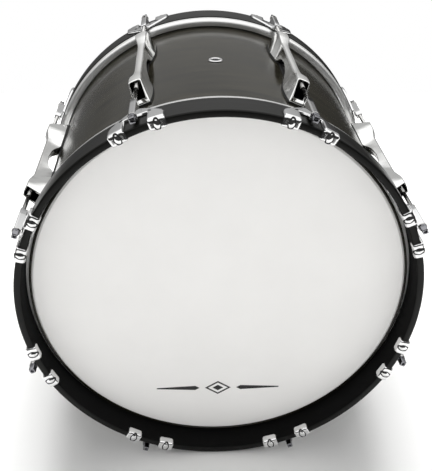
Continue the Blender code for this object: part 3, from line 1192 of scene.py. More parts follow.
@dataclass
class CounterHoop:
    """Wooden counterhoop with eased edges."""

    shop: Workshop
    thickness: float = 8.7 * MM
    front_ease: float = 2.4 * MM
    back_ease: float = 1.0 * MM
    sides: int = 288

    def profile(self) -> list[Point]:
        """Return the hoop's section.

        Returns:
            Points of (radius, height) round the section.
        """
        layout = self.shop.layout
        outer = layout.hoop_radius
        inner = outer - self.thickness
        front, back = layout.hoop_front, layout.hoop_back
        points = arc((outer - self.front_ease, front - self.front_ease), self.front_ease, 90, 0, 6)
        points += arc((outer - self.back_ease, back + self.back_ease), self.back_ease, 0, -90, 3)
        points += arc((inner + self.back_ease, back + self.back_ease), self.back_ease, 270, 180, 3)
        points += arc((inner + self.front_ease, front - self.front_ease), self.front_ease, 180, 90, 6)
        return points

    def build(self, end: End) -> None:
        """Build the hoop at one end.

        Args:
            end: Which end of the drum.
        """
        finish = self.shop.finishes.hoop
        place = self.shop.layout.turned(end)
        hoop = self.shop.lathe.turn("counterhoop", self.profile(), self.sides, finish, place)
        self.shop.fit(f"{end.label}_counterhoop", hoop, finish, end.hoop_body, [f"{end.label}_hoop"])


# Lugs


@dataclass(frozen=True)
class Station:
    """A cross-section of a lug: top and foot, each with its place along the drum, height and half width."""

    top_along: float
    top: float
    top_half: float
    foot_along: float
    foot: float
    foot_half: float


@dataclass
class Lug:
    """Bridge lug: a hood with a hollow mouth at each end, a slim waist and an arch; sizes in millimetres."""

    shop: Workshop
    top: float = 256.0
    waist: float = 251.5
    foot: float = 230.45
    arch: float = 241.5
    wall: float = 1.5
    low_wall: float = 3.6
    cavity_floor: float = 236.0
    cavity_end: float = 97.0
    bore: float = 2.9
    lip: float = 1.1
    shoulder: float = 2.2
    crown: float = 0.5
    flare: float = 1.3
    foot_ease: float = 0.7
    gasket_edge: float = 0.7 * MM
    rings_per_station: int = 7

    def stations(self) -> list[Station]:
        """Return the sections from the mouth to the drum's middle, in millimetres behind the film.

        Returns:
            The sections in order.
        """
        middle = self.shop.layout.film_plane / MM
        return [
            Station(77, self.top, 8.0, 62.5, self.foot, 9.4),
            Station(86, self.top + 0.1, 8.3, 77, self.foot, 11.2),
            Station(96, self.top - 0.3, 7.8, 92, self.foot, 12.0),
            Station(109, self.top - 2.6, 6.3, 107, self.foot, 11.6),
            Station(121, self.waist + 0.2, 5.4, 120, self.foot, 9.8),
            Station(133, self.waist, 5.0, 135, self.foot, 7.2),
            Station(141, self.waist, 5.0, 142, 232.6, 6.5),
            Station(149, self.waist, 5.0, 149, 236.6, 6.2),
            Station(159, self.waist, 5.1, 159, 239.7, 6.0),
            Station(middle, self.waist, 5.3, middle, self.arch, 5.8),
        ]

    def section(self, position: float) -> list[Vector]:
        """Return the right half of a cross-section, from the foot's middle up to the top's middle.

        Args:
            position: Place between the stations, from 0 at the mouth.

        Returns:
            Points of (half width, along, height) in millimetres.
        """
        rows = self.stations()

        def read(name: str) -> float:
            """Return one of the stations' values at the position."""
            return monotone([getattr(row, name) for row in rows], position)

        top_half, foot_half = read("top_half"), read("foot_half")
        top, foot = read("top"), read("foot")
        along_top, along_foot = read("top_along"), read("foot_along")
        height = top - foot

        def at(half: float, level: float) -> Vector:
            """Return a point, with its place along the drum from its height."""
            share = (level - foot) / height
            return Vector((half, along_foot + (along_top - along_foot) * share, level))

        ease = self.foot_ease
        wall_top = top - self.shoulder
        points = [at(0, foot), at(foot_half * 0.5, foot), at(foot_half - ease, foot)]
        points.append(at(foot_half, foot + ease))
        steps = 12
        for i in range(1, steps + 1):
            share = i / steps
            level = foot + ease + (wall_top - foot - ease) * share
            points.append(at(top_half + (foot_half - top_half) * (1 - share) ** self.flare, level))
        for across, level in arc((top_half - self.shoulder, wall_top), self.shoulder, 0, 90, 5)[1:]:
            points.append(at(across, level))
        points.append(at(top_half * 0.35, top + self.crown * 0.8))
        points.append(at(0, top + self.crown))
        return points

    def cavity(self, count: int, shrink: float, depth: float) -> list[Vector]:
        """Return the right half of a ring of the mouth's hollow.

        Args:
            count: Number of points, as in the outer section.
            shrink: How far the ring lies inside the hollow's own outline.
            depth: How far it lies behind the mouth's raked face.

        Returns:
            Points of (half width, along, height) in millimetres.
        """
        mouth = self.stations()[0]
        floor = self.cavity_floor + shrink
        roof = mouth.top - self.wall * 0.8 - shrink
        half = mouth.top_half - self.wall - shrink
        low_half = mouth.foot_half - self.low_wall - shrink
        radius = min(2.6, half - 0.3)
        outline = [(0.0, floor), (low_half * 0.5, floor), (low_half - 0.6, floor), (low_half, floor + 0.6)]
        steps = count - len(outline) - 7
        for i in range(1, steps + 1):
            share = i / steps
            across = low_half + (half - low_half) * share
            outline.append((across, floor + 0.6 + (roof - radius - floor - 0.6) * share))
        outline += arc((half - radius, roof - radius), radius, 0, 90, 5)[1:]
        outline += [((half - radius) * 0.5, roof), (0.0, roof)]
        rake = (mouth.top_along - mouth.foot_along) / (mouth.top - mouth.foot)
        return [Vector((x, mouth.foot_along + (z - mouth.foot) * rake + depth, z)) for x, z in outline]

    def whole(self, half_ring: Sequence[Vector], side: int) -> list[Vector]:
        """Mirror a half section into a ring, in metres in the lug's own frame.

        Args:
            half_ring: Right half of a section, in millimetres.
            side: The sign of Y at this end.

        Returns:
            The closed ring.
        """
        middle = self.shop.layout.film_plane
        ring = list(half_ring) + [Vector((-p.x, p.y, p.z)) for p in reversed(half_ring[1:-1])]
        return [Vector((p.x * MM, side * (middle - p.y * MM), p.z * MM)) for p in ring]

    def half_rings(self) -> list[list[Vector]]:
        """Return all half sections from the mouth's inner end out to the lip and back to the middle.

        Returns:
            The sections in order, in millimetres.
        """
        last = len(self.stations()) - 1
        outer = []
        for i in range(last * self.rings_per_station + 1):
            outer.append(self.section(i / self.rings_per_station))
        count = len(outer[0])
        mouth = outer[0]
        lip_in = self.cavity(count, -self.lip * 0.25, 0.0)
        face = [a.lerp(b, self.lip / 4) for a, b in zip(mouth, lip_in)]
        rounded = []
        for a, b in zip(mouth, face):
            rounded.append(a.lerp(b, 0.35) - Vector((0, 0.35, 0)))
        level_face = [p - Vector((0, 0.45, 0)) for p in face]
        inner_face = [p - Vector((0, 0.45, 0)) for p in self.cavity(count, -self.lip * 0.6, 0.0)]
        hollow = [inner_face]
        for shrink, depth in ((0.0, 0.4), (0.1, 3.0), (0.4, 9.0)):
            hollow.append(self.cavity(count, shrink, depth))
        deepest = [Vector((p.x, self.cavity_end, p.z)) for p in self.cavity(count, 0.7, 0.0)]
        closing = [Vector((p.x * 0.4, self.cavity_end + 0.4, 248 + (p.z - 248) * 0.4)) for p in deepest]
        hollow += [deepest, closing]
        return list(reversed(hollow)) + [level_face, rounded] + outer

    def rod_bore(self, side: int) -> Mesh:
        """Return the cutter for the bore that the rod enters behind a hood's hollow.

        Args:
            side: The sign of Y at this end.

        Returns:
            The cutter.
        """
        start, end = self.cavity_end - 3, self.cavity_end + 14
        bm = bmesh.new()
        along = side * (self.shop.layout.film_plane - (start + end) / 2 * MM)
        centre = Vector((0, along, self.shop.layout.rod_axis))
        place = Matrix.Translation(centre) @ Matrix.Rotation(math.pi / 2, 4, "X")
        pin(bm, self.bore * MM, (end - start) * MM, place)
        return finish_bmesh(bm, "rod_bore")

    def body(self) -> Mesh:
        """Return one lug as a closed mesh.

        Returns:
            The mesh in the lug's own frame, with its attribute brushed and the attribute that marks the
            hollows for painted shade.
        """
        halves = self.half_rings()
        front = [self.whole(ring, -1) for ring in halves]
        rear = [self.whole(ring, 1) for ring in reversed(halves[:-1])]
        mesh = ring_loft("lug", front + rear)
        for side in (-1, 1):
            mesh = carved(mesh, self.rod_bore(side))
        # Painted shade: the points of the first five rings at each end, the hollows of the mouths, are marked
        # for the dark tint.
        hollow_shade = mesh.attributes.new("painted_hollow_shade", "FLOAT", "POINT")
        inside = {self.key_of(point) for rings in (front, rear[::-1]) for ring in rings[:5] for point in ring}
        for vertex, value in zip(mesh.vertices, hollow_shade.data):
            value.value = 1.0 if self.key_of(vertex.co) in inside else 0.0
        return mark_brushed(mesh)

    @staticmethod
    def key_of(point: Vector) -> tuple[int, int, int]:
        """Return a point's place in whole micrometres."""
        return (round(point.x * 1e6), round(point.y * 1e6), round(point.z * 1e6))

    def gasket_mesh(self) -> Mesh:
        """Return the rubber under one lug: a pad under each foot, joined by a narrow web.

        Returns:
            The mesh in the lug's own frame.
        """
        layout = self.shop.layout
        rows = self.stations()
        low = layout.shell_radius + 0.12 * MM
        top = self.foot * MM - 0.08 * MM
        feet = [(row.foot_along * MM, row.foot_half * MM + self.gasket_edge) for row in rows[:6]]
        feet[0] = (feet[0][0] - self.gasket_edge, feet[0][1])
        feet += [(138.5 * MM, 4.5 * MM), (141 * MM, 2.2 * MM)]
        sections = []
        for along, half in feet:
            lower = [(x, math.sqrt(low ** 2 - x ** 2)) for x in (-half, -half * 0.5, 0, half * 0.5, half)]
            upper = [(half * share, top) for share in (0.97, 0.5, 0, -0.5, -0.97)]
            sections.append([Vector((x, along, z)) for x, z in lower + upper])
        front = [[Vector((p.x, p.y - layout.film_plane, p.z)) for p in ring] for ring in sections]
        rear = [[Vector((p.x, -p.y, p.z)) for p in ring] for ring in reversed(front)]
        return ring_loft("gasket", front + rear)

    def build(self) -> None:
        """Build the eight lugs with their gaskets."""
        numbers = range(1, self.shop.layout.lugs + 1)
        finishes = self.shop.finishes
        lugs = self.shop.carousel.place("lugs", self.body(), finishes.cast)
        self.shop.fit("bridge_lugs", lugs, finishes.cast, "root", [f"lug_{n}" for n in numbers], sharp=40.0)
        gaskets = self.shop.carousel.place("gaskets", self.gasket_mesh(), finishes.rubber)
        self.shop.fit("lug_gaskets", gaskets, finishes.rubber, "root", [f"lug_gasket_{n}" for n in numbers])


@dataclass
class LugFasteners:
    """What the lugs hold: swivel nuts in their hoods, and screws with washers from inside the shell."""

    shop: Workshop
    nut_radius: float = 4.3 * MM
    nut_start: float = 96.2 * MM
    nut_end: float = 112 * MM
    bore: float = 2.75 * MM
    screw_place: float = 84 * MM
    screw_radius: float = 2.4 * MM
    washer_radius: float = 7 * MM
    washer: float = 1.4 * MM
    head_radius: float = 4.6 * MM
    head: float = 3.8 * MM
    shell_wall: float = 7.5 * MM

    def nut(self) -> Mesh:
        """Return a swivel nut round the rod's axis, in the hardware frame.

        Returns:
            The closed mesh.
        """
        start, end, radius, bore = self.nut_start, self.nut_end, self.nut_radius, self.bore
        profile = [(bore + 0.4 * MM, end), (radius - 0.8 * MM, end), (radius, end - 0.8 * MM),
                   (radius, start + 0.8 * MM), (radius - 0.8 * MM, start), (bore + 0.4 * MM, start),
                   (bore, start + 0.4 * MM), (bore, end - 0.4 * MM)]
        place = Matrix.Translation((0, 0, self.shop.layout.rod_axis)) @ Matrix.Rotation(-math.pi / 2, 4, "X")
        return self.shop.lathe.turn("swivel_nut", profile, 24, self.shop.finishes.steel, place)

    def screw(self) -> Mesh:
        """Return a lug screw with its washer, in the hardware frame.

        Returns:
            The closed mesh.
        """
        inside = self.shop.layout.shell_radius - self.shell_wall - 0.1 * MM
        washer = inside - self.washer
        head = washer - self.head
        tip = self.shop.layout.shell_radius + 4 * MM
        profile = [(0.0, tip), (self.screw_radius, tip - 0.6 * MM), (self.screw_radius, inside),
                   (self.washer_radius, inside), (self.washer_radius, washer + 0.2 * MM),
                   (self.washer_radius - 0.2 * MM, washer), (self.head_radius, washer),
                   (self.head_radius, head + 1.2 * MM)]
        profile += arc((self.head_radius - 1.2 * MM, head + 1.2 * MM), 1.2 * MM, 0, -90, 3)[1:]
        profile += [(1.6 * MM, head), (1.2 * MM, head + 1.8 * MM), (0.0, head + 1.8 * MM)]
        place = Matrix.Translation((0, self.screw_place, 0))
        return self.shop.lathe.turn("lug_screw", profile, 24, self.shop.finishes.steel, place, closed=False)

    def build(self) -> None:
        """Build all the nuts and screws."""
        steel = self.shop.finishes.steel
        for name, mesh in (("swivel_nuts", self.nut()), ("lug_screws", self.screw())):
            both = [self.shop.carousel.place(name, mesh, steel, end) for end in End]
            self.shop.fit(name, merged(name, both), steel, "root")


# Claw yokes


@dataclass
class ClawYoke:
    """Double claw yoke: a bridge plate, two arms that hook over the hoop, and the rod's sleeve."""

    shop: Workshop
    arm_angle: float = math.radians(5.4)
    arm_width: float = 19.0
    hoop_wall: float = 8.7
    hoop_ease: float = 2.4
    wall: float = 3.0
    front_wall: float = 1.8
    gap: float = 0.45
    bend: float = 1.6
    lip_end: float = -20.8
    bridge_back: float = 12.5
    bridge_front: float = -7.0
    arm_start: float = -20.5
    corner_back: float = -16.0
    boss_height: float = 1.25
    boss_size: Point = (3.3, 4.3)
    # Size and width of the black rubber ring round each boss, a painted dark reflection.
    reflection_ring_size: Point = (4.0, 5.0)
    reflection_ring_width: float = 0.6
    edge: float = 2.4
    column_step: float = 0.95
    row_step: float = 0.9
    sleeve_half: float = 4.0
    sleeve_front: float = -19.5
    sleeve_back: float = 28.0
    sleeve_top: float = 253.0
    sleeve_bottom: float = 243.2
    bore: float = 3.0

    @property
    def front_bend(self) -> float:
        """Return the length along the skin at which the front bend starts."""
        return self.bridge_back + self.shop.layout.hoop_front / MM + self.gap - self.bend

    @property
    def boss_middle(self) -> float:
        """Return the length along the skin at the middle of an arm's front face."""
        face = self.hoop_wall + 2 * self.gap - 2 * self.bend
        return self.front_bend + self.bend * math.pi / 2 + face / 2

    @property
    def inner_radius(self) -> float:
        """Return the radius of the plate's inner face, in millimetres."""
        return self.shop.layout.hoop_radius / MM + self.gap

    def path(self) -> list[SkinPoint]:
        """Return the arm's inner line as (along, radius, normal along, normal radius) with close points.

        Returns:
            The points from the arm's start to its lip.
        """
        layout = self.shop.layout
        radius = self.inner_radius
        plane = -(layout.hoop_front / MM + self.gap)
        lip = layout.hoop_radius / MM - self.hoop_wall - self.gap
        bend = self.bend
        points: list[SkinPoint] = []

        def line(start: Point, end: Point, normal: Point) -> None:
            """Add a straight stretch, without its last point.

            Args:
                start: First point.
                end: Last point.
                normal: Direction out of the skin.
            """
            steps = max(2, round(math.dist(start, end) / self.row_step))
            for i in range(steps):
                share = i / steps
                points.append((start[0] + (end[0] - start[0]) * share, start[1] + (end[1] - start[1]) * share,
                               normal[0], normal[1]))

        def turn(centre: Point, start: float, end: float) -> None:
            """Add a bend, without its last point.

            Args:
                centre: Centre of the bend.
                start: First angle in degrees.
                end: Last angle in degrees.
            """
            steps = 7
            for i in range(steps):
                angle = math.radians(start + (end - start) * i / steps)
                normal = (math.cos(angle), math.sin(angle))
                points.append((centre[0] + bend * normal[0], centre[1] + bend * normal[1], *normal))

        line((self.arm_start, radius), (plane + bend, radius), (0.0, 1.0))
        turn((plane + bend, radius - bend), 90, 180)
        line((plane, radius - bend), (plane, lip + bend), (-1.0, 0.0))
        turn((plane + bend, lip + bend), 180, 270)
        line((plane + bend, lip), (self.lip_end, lip), (0.0, -1.0))
        points.append((self.lip_end, lip, 0.0, -1.0))
        return points

    def back_edge(self, across: float) -> float:
        """Return where the plate's rear edge lies at a distance from the rod, rounded at its corner.

        Args:
            across: Distance from the rod, round the drum.

        Returns:
            The place along the drum, in millimetres.
        """
        reach = self.inner_radius * self.arm_angle + self.arm_width / 2
        share = min(1.0, max(0.0, (abs(across) - 5.0) / (reach - 5.0)))
        slope = self.bridge_back + (self.corner_back + 4 - self.bridge_back) * share ** 1.15
        past = max(0.0, abs(across) - (reach - 4.0)) / 4.0
        return slope - 5.5 * (1 - math.sqrt(max(0.0, 1 - past * past)))

    def front_edge(self, across: float) -> float:
        """Return where the bridge ends and the arms begin, which moves forward at the outer corners."""
        return min(self.bridge_front, self.back_edge(across) - 1.5)

    def columns(self) -> list[float]:
        """Return the distances across the yoke at which its surface is laid out.

        Returns:
            The distances in order, in millimetres.
        """
        centre = self.inner_radius * self.arm_angle
        inner = centre - self.arm_width / 2
        outer = centre + self.arm_width / 2
        bridge_steps = round(inner / self.column_step)
        arm_steps = round(self.arm_width / self.column_step)
        right = [inner * i / bridge_steps for i in range(bridge_steps)]
        right += [inner + (outer - inner) * i / arm_steps for i in range(arm_steps + 1)]
        return [-x for x in reversed(right[1:])] + right

    def surface(self) -> Mesh:
        """Return the plate and arms: inner and outer skins whose distance swells from the edges.

        Returns:
            The closed mesh without the sleeve.
        """
        columns = self.columns()
        centre = self.inner_radius * self.arm_angle
        inner_edge = centre - self.arm_width / 2 - 0.01
        path = self.path()
        lengths = self.measured(path)
        plate_rows, shoulder_rows, tip_round = 20, 14, 3.0
        path_start = self.bridge_back - self.arm_start
        grid: Grid = {}

        def flat(across: float, along: float) -> tuple[float, float, SkinPoint]:
            """Return a grid point on the part of the skin that follows the hoop's outside."""
            return (across, self.bridge_back - along, (along, self.inner_radius, 0.0, 1.0))

        for c, across in enumerate(columns):
            back, front = self.back_edge(across), self.front_edge(across)
            for r in range(plate_rows + 1):
                grid[c, r] = flat(across, back + (front - back) * r / plate_rows)
            if abs(across) < inner_edge:
                continue
            for r in range(1, shoulder_rows + 1):
                grid[c, plate_rows + r] = flat(across, front + (self.arm_start - front) * r / shoulder_rows)
            side = abs(abs(across) - centre)
            past = max(0.0, side - (self.arm_width / 2 - tip_round)) / tip_round
            shorten = tip_round * (1 - math.sqrt(max(0.0, 1 - past * past)))
            for r in range(1, len(path)):
                length = lengths[r] - shorten * (lengths[r] / lengths[-1]) ** 6
                spot = self.read_path(path, lengths, length)
                grid[c, plate_rows + shoulder_rows + r] = (across, path_start + length, spot)
        arm_rows = shoulder_rows + len(path) - 1
        outline = self.outline(columns, plate_rows, arm_rows, grid, inner_edge)
        return self.skins(columns, grid, outline, inner_edge, plate_rows)

    @staticmethod
    def measured(path: Sequence[SkinPoint]) -> list[float]:
        """Return the length along the path at each of its points."""
        return [0.0, *accumulate(math.dist(a[:2], b[:2]) for a, b in zip(path, path[1:]))]

    @staticmethod
    def read_path(path: Sequence[SkinPoint], lengths: Sequence[float],
                  length: float) -> SkinPoint:
        """Return the path's point and normal at a length.

        Args:
            path: The arm's inner line.
            lengths: The length at each of its points.
            length: Where to read.

        Returns:
            The point, with a normal of length 1.
        """
        for i in range(len(path) - 1):
            if length <= lengths[i + 1]:
                share = (length - lengths[i]) / (lengths[i + 1] - lengths[i])
                values = [a + (b - a) * share for a, b in zip(path[i], path[i + 1])]
                size = math.hypot(values[2], values[3])
                return (values[0], values[1], values[2] / size, values[3] / size)
        return path[-1]

    @staticmethod
    def outline(columns: Sequence[float], plate_rows: int, arm_rows: int, grid: Grid,
                inner_edge: float) -> list[GridKey]:
        """Return the grid keys round the edge of the plate and arms, in order.

        Args:
            columns: Distances across the yoke.
            plate_rows: Rows of the bridge plate.
            arm_rows: Rows of the arms below it.
            grid: The points of the skin.
            inner_edge: Where the arms start across the yoke.

        Returns:
            The keys in order.
        """
        arms = [abs(x) >= inner_edge for x in columns]
        last = len(columns) - 1
        keys = [(c, 0) for c in range(last + 1)]
        keys += [(last, r) for r in range(1, plate_rows + arm_rows + 1)]
        for c in range(last, -1, -1):
            if arms[c]:
                keys.append((c, plate_rows + arm_rows))
                if c and not arms[c - 1]:
                    keys += [(c, r) for r in range(plate_rows + arm_rows - 1, plate_rows - 1, -1)]
            else:
                keys.append((c, plate_rows))
                if arms[c - 1]:
                    keys += [(c - 1, r) for r in range(plate_rows, plate_rows + arm_rows)]
        keys += [(0, r) for r in range(plate_rows + arm_rows - 1, 0, -1)]
        clean = []
        for key in keys:
            if key in grid and (not clean or clean[-1] != key):
                clean.append(key)
        return clean

    def swell(self, distance: float, full: float) -> float:
        """Return the wall at a distance from the edge, rounded like a cushion."""
        share = min(1.0, distance / self.edge)
        return full * (0.4 + 0.6 * math.sqrt(max(0.0, 1 - (1 - share) ** 2)))

    def wall_at(self, across: float, length: float, distance: float) -> float:
        """Return the wall's thickness at a point of the yoke, with the boss on the front of each arm.

        Args:
            across: Distance from the rod, round the drum.
            length: Distance along the yoke's skin from the back of the bridge.
            distance: Distance from the yoke's edge.

        Returns:
            The thickness in millimetres.
        """
        share = min(1.0, max(0.0, (length - self.front_bend + 3) / 6))
        full = self.wall + (self.front_wall - self.wall) * share * share * (3 - 2 * share)
        wall = self.swell(distance, full)
        offset = abs(abs(across) - self.inner_radius * self.arm_angle)
        spread = (offset / self.boss_size[0]) ** 2 + ((length - self.boss_middle) / self.boss_size[1]) ** 2
        if spread < 1:
            wall += self.boss_height * (1 - spread) ** 0.8
        return wall

    def skins(self, columns: Sequence[float], grid: Grid, outline: Sequence[GridKey], inner_edge: float,
              plate_rows: int) -> Mesh:
        """Join the inner and outer skins into one closed mesh.

        Args:
            columns: Distances across the yoke.
            grid: The points of the skin.
            outline: The keys round its edge.
            inner_edge: Where the arms start across the yoke.
            plate_rows: Rows of the bridge plate.

        Returns:
            The closed mesh.
        """
        flat_outline = [Vector(grid[key][:2]) for key in outline]
        bm = bmesh.new()
        inner: dict[GridKey, bmesh.types.BMVert] = {}
        outer: dict[GridKey, bmesh.types.BMVert] = {}
        segments = list(zip(flat_outline, flat_outline[1:] + flat_outline[:1]))
        for key, (across, length, spot) in grid.items():
            here = Vector((across, length))
            distance = min(self.point_to_segment(here, a, b) for a, b in segments)
            wall = self.wall_at(across, length, distance)
            along, radius, normal_along, normal_radius = spot
            angle = across / self.inner_radius
            for verts, offset in ((inner, 0.0), (outer, wall)):
                point = self.polar(angle, radius + normal_radius * offset, along + normal_along * offset)
                verts[key] = bm.verts.new(point)
        for (c, r) in grid:
            corners = [(c, r), (c + 1, r), (c + 1, r + 1), (c, r + 1)]
            if not all(key in grid for key in corners):
                continue
            if r >= plate_rows and min(abs(columns[c]), abs(columns[c + 1])) < inner_edge:
                continue
            bm.faces.new([outer[key] for key in corners])
            bm.faces.new([inner[key] for key in reversed(corners)])
        for a, b in zip(outline, [*outline[1:], outline[0]]):
            bm.faces.new((outer[a], outer[b], inner[b], inner[a]))
        return finish_bmesh(bm, "yoke")

    @staticmethod
    def point_to_segment(point: Vector, start: Vector, end: Vector) -> float:
        """Return the distance from a point to a stretch of line.

        Args:
            point: The point.
            start: Start of the line.
            end: End of the line.

        Returns:
            The distance.
        """
        line = end - start
        size = line.length_squared
        share = min(1.0, max(0.0, (point - start).dot(line) / size)) if size else 0.0
        return (point - start - line * share).length

    @staticmethod
    def polar(angle: float, radius: float, along: float) -> Vector:
        """Return a point in metres from an angle round the drum, a radius and a depth in millimetres."""
        return Vector((radius * MM * math.sin(angle), along * MM, radius * MM * math.cos(angle)))

    def sleeve(self) -> Mesh:
        """Return the sleeve with its bore, as a ring-shaped loft.

        Returns:
            The closed mesh in the hardware frame.
        """
        axis = self.shop.layout.rod_axis / MM

        def outline(half: float, top: float, bottom: float, along: float) -> list[Vector]:
            """Return a rounded rectangle across the sleeve.

            Args:
                half: Half its width.
                top: Radius of its top.
                bottom: Radius of its foot.
                along: Its place along the drum.

            Returns:
                The ring, with its long sides divided.
            """
            corner, foot = 1.3, 0.8
            points = arc((half - corner, top - corner), corner, 0, 90, 4)
            points += arc((-half + corner, top - corner), corner, 90, 180, 4)
            points += arc((-half + foot, bottom + foot), foot, 180, 270, 3)
            points += arc((half - foot, bottom + foot), foot, 270, 360, 3)
            fine = []
            for (x, z), (next_x, next_z) in zip(points, points[1:] + points[:1]):
                steps = 6 if math.dist((x, z), (next_x, next_z)) > 2 else 1
                fine += [(x + (next_x - x) * i / steps, z + (next_z - z) * i / steps) for i in range(steps)]
            return [Vector((x * MM, along * MM, z * MM)) for x, z in fine]

        def bore(ring: Sequence[Vector], radius: float, along: float) -> list[Vector]:
            """Return a circle round the rod with a point towards each point of a ring.

            Args:
                ring: The outer ring.
                radius: Radius of the bore.
                along: Its place along the drum.

            Returns:
                The inner ring.
            """
            points = []
            for p in ring:
                angle = math.atan2(p.z / MM - axis, p.x / MM)
                points.append(Vector((radius * math.cos(angle) * MM, along * MM,
                                      (axis + radius * math.sin(angle)) * MM)))
            return points

        half, top, bottom = self.sleeve_half, self.sleeve_top, self.sleeve_bottom
        front, back = self.sleeve_front, self.sleeve_back
        outside = [
            outline(half - 0.5, top - 0.5, bottom, front), outline(half, top, bottom, front + 0.5),
            outline(half, top, bottom, 4), outline(half, top, bottom + 0.6, 14),
            outline(half - 0.1, top - 0.1, bottom + 1.2, back - 1.2),
            outline(half - 0.5, top - 0.5, bottom + 1.6, back - 0.3),
            outline(half - 0.9, top - 0.9, bottom + 2.0, back),
        ]
        rings = outside + [bore(outside[-1], self.bore + 0.3, back), bore(outside[-1], self.bore, back - 0.4),
                           bore(outside[0], self.bore, front + 0.4), bore(outside[0], self.bore + 0.3, front)]
        return ring_loft("sleeve", rings, capped=False)

    def drop_cut(self) -> Mesh:
        """Return the cutter for the drop-shaped notch that parts the sleeve's front end into two prongs.

        Returns:
            The cutter.
        """
        bm = bmesh.new()
        front = self.sleeve_front
        points = [(-1.0, front - 1), (1.0, front - 1)] + arc((0.0, front + 3.2), 1.25, 0, 180, 8)
        base = [bm.verts.new((x * MM, y * MM, (self.sleeve_top + 2) * MM)) for x, y in points]
        low = [bm.verts.new((x * MM, y * MM, (self.sleeve_top - 3.0) * MM)) for x, y in points]
        bm.faces.new(base)
        bm.faces.new(low)
        band(bm, base, low)
        return finish_bmesh(bm, "drop")

    def pads(self) -> Mesh:
        """Return the rubber of one yoke: a liner in each arm, and the black oval on the plate and black ring
        round each boss that are painted dark reflections.

        Returns:
            The liners, ovals and rings as one mesh.
        """
        layout = self.shop.layout
        plane = layout.hoop_front / MM
        outer = layout.hoop_radius / MM
        inner = outer - self.hoop_wall
        ease = self.hoop_ease
        half = self.arm_width / 2 + 0.8
        bm = bmesh.new()
        low, high = 0.06, 0.4

        def eased(radius: float, angles: Sequence[float]) -> list[SkinPoint]:
            """Return points round an eased edge of the hoop, whose centre is at a radius.

            Args:
                radius: Radius of the centre.
                angles: Angles in degrees.

            Returns:
                The points with their normals.
            """
            turns = [(math.cos(math.radians(a)), math.sin(math.radians(a))) for a in angles]
            return [(-plane + ease + ease * c, radius + ease * s, c, s) for c, s in turns]

        line = [(along, outer, 0.0, 1.0) for along in (-12.5, -18.0, -24.0, -plane + ease)]
        line += eased(outer - ease, (112, 135, 158))
        line += [(-plane, outer - ease, -1.0, 0.0), (-plane, inner + ease, -1.0, 0.0)]
        line += eased(inner + ease, (202, 225, 248))
        line += [(-plane + ease, inner, 0.0, -1.0), (self.lip_end - 0.8, inner, 0.0, -1.0)]
        for side in (-1, 1):
            rings = []
            for i in range(9):
                angle = side * self.arm_angle + (i / 4 - 1) * half / outer
                loop = []
                for points, offset in ((line, high), (list(reversed(line)), low)):
                    for along, radius, na, nr in points:
                        loop.append(self.polar(angle, radius + nr * offset, along + na * offset))
                rings.append(loop)
            bm.from_mesh(ring_loft("pad", rings))
            # Painted dark reflections: a black oval on the plate and a black ring round the boss.
            bm.from_mesh(self.reflection_oval(side))
            bm.from_mesh(self.reflection_ring(side))
        return finish_bmesh(bm, "pads")

    def reflection_ring(self, side: int) -> Mesh:
        """Return the black rubber ring round the boss on the front of an arm, a painted dark reflection.

        Args:
            side: 1 for the arm at +X, or -1.

        Returns:
            The closed rim.
        """
        path = self.path()
        lengths = self.measured(path)
        centre = self.inner_radius * self.arm_angle
        start = self.bridge_back - self.arm_start
        wide, long = self.reflection_ring_size
        width = self.reflection_ring_width
        rings = []
        for i in range(96):
            turn = math.tau * i / 96
            loop = []
            for inset, lift in ((-width, 0.2), (-width / 2, 0.38), (width / 2, 0.38), (width, 0.2),
                                (width, -0.6), (-width, -0.6)):
                across = centre + (wide + inset) * math.cos(turn)
                length = self.boss_middle + (long + inset) * math.sin(turn)
                wall = self.wall_at(centre + wide * math.cos(turn), length, self.arm_width)
                along, radius, na, nr = self.read_path(path, lengths, length - start)
                out = wall + lift
                angle = side * across / self.inner_radius
                loop.append(self.polar(angle, radius + nr * out, along + na * out))
            rings.append(loop)
        return ring_loft("reflection_ring", rings, capped=False)

    def reflection_oval(self, side: int) -> Mesh:
        """Return a slanting black oval set into the top of the plate, a painted dark reflection.

        Args:
            side: 1 for the arm at +X, or -1.

        Returns:
            The closed plug.
        """
        radius = self.inner_radius + self.wall
        rings = []
        for lift, size in ((-1.0, 1.0), (0.05, 1.0), (0.3, 0.8)):
            ring = []
            for i in range(20):
                turn = math.tau * i / 20
                long, short = 2.9 * size * math.cos(turn), 1.15 * size * math.sin(turn)
                slant = math.radians(40)
                x = 16.2 + long * math.cos(slant) - short * math.sin(slant)
                y = -4.8 - long * math.sin(slant) - short * math.cos(slant)
                ring.append(self.polar(side * x / self.inner_radius, radius + lift, y))
            rings.append(ring)
        return ring_loft("reflection_oval", rings)

    def build(self, end: End) -> None:
        """Build the eight yokes at one end, with their rubber liners and the black marks that are painted
        dark reflections.

        Args:
            end: Which end of the drum.
        """
        numbers = range(1, self.shop.layout.lugs + 1)
        finishes = self.shop.finishes
        sleeve = carved(self.sleeve(), self.drop_cut())
        yoke = mark_brushed(carved(self.surface(), sleeve, "UNION"))
        yokes = self.shop.carousel.place("yokes", yoke, finishes.chrome, end)
        nodes = [f"{end.label}_claw_{n}" for n in numbers]
        self.shop.fit(f"{end.label}_claw_yokes", yokes, finishes.chrome, end.hoop_body, nodes)
        # The rubber piece holds the real liners and the painted dark reflections.
        pads = self.shop.carousel.place("pads", self.pads(), finishes.rubber, end)
        self.shop.fit(f"{end.label}_claw_pads", pads, finishes.rubber, end.hoop_body)


# Tension rods


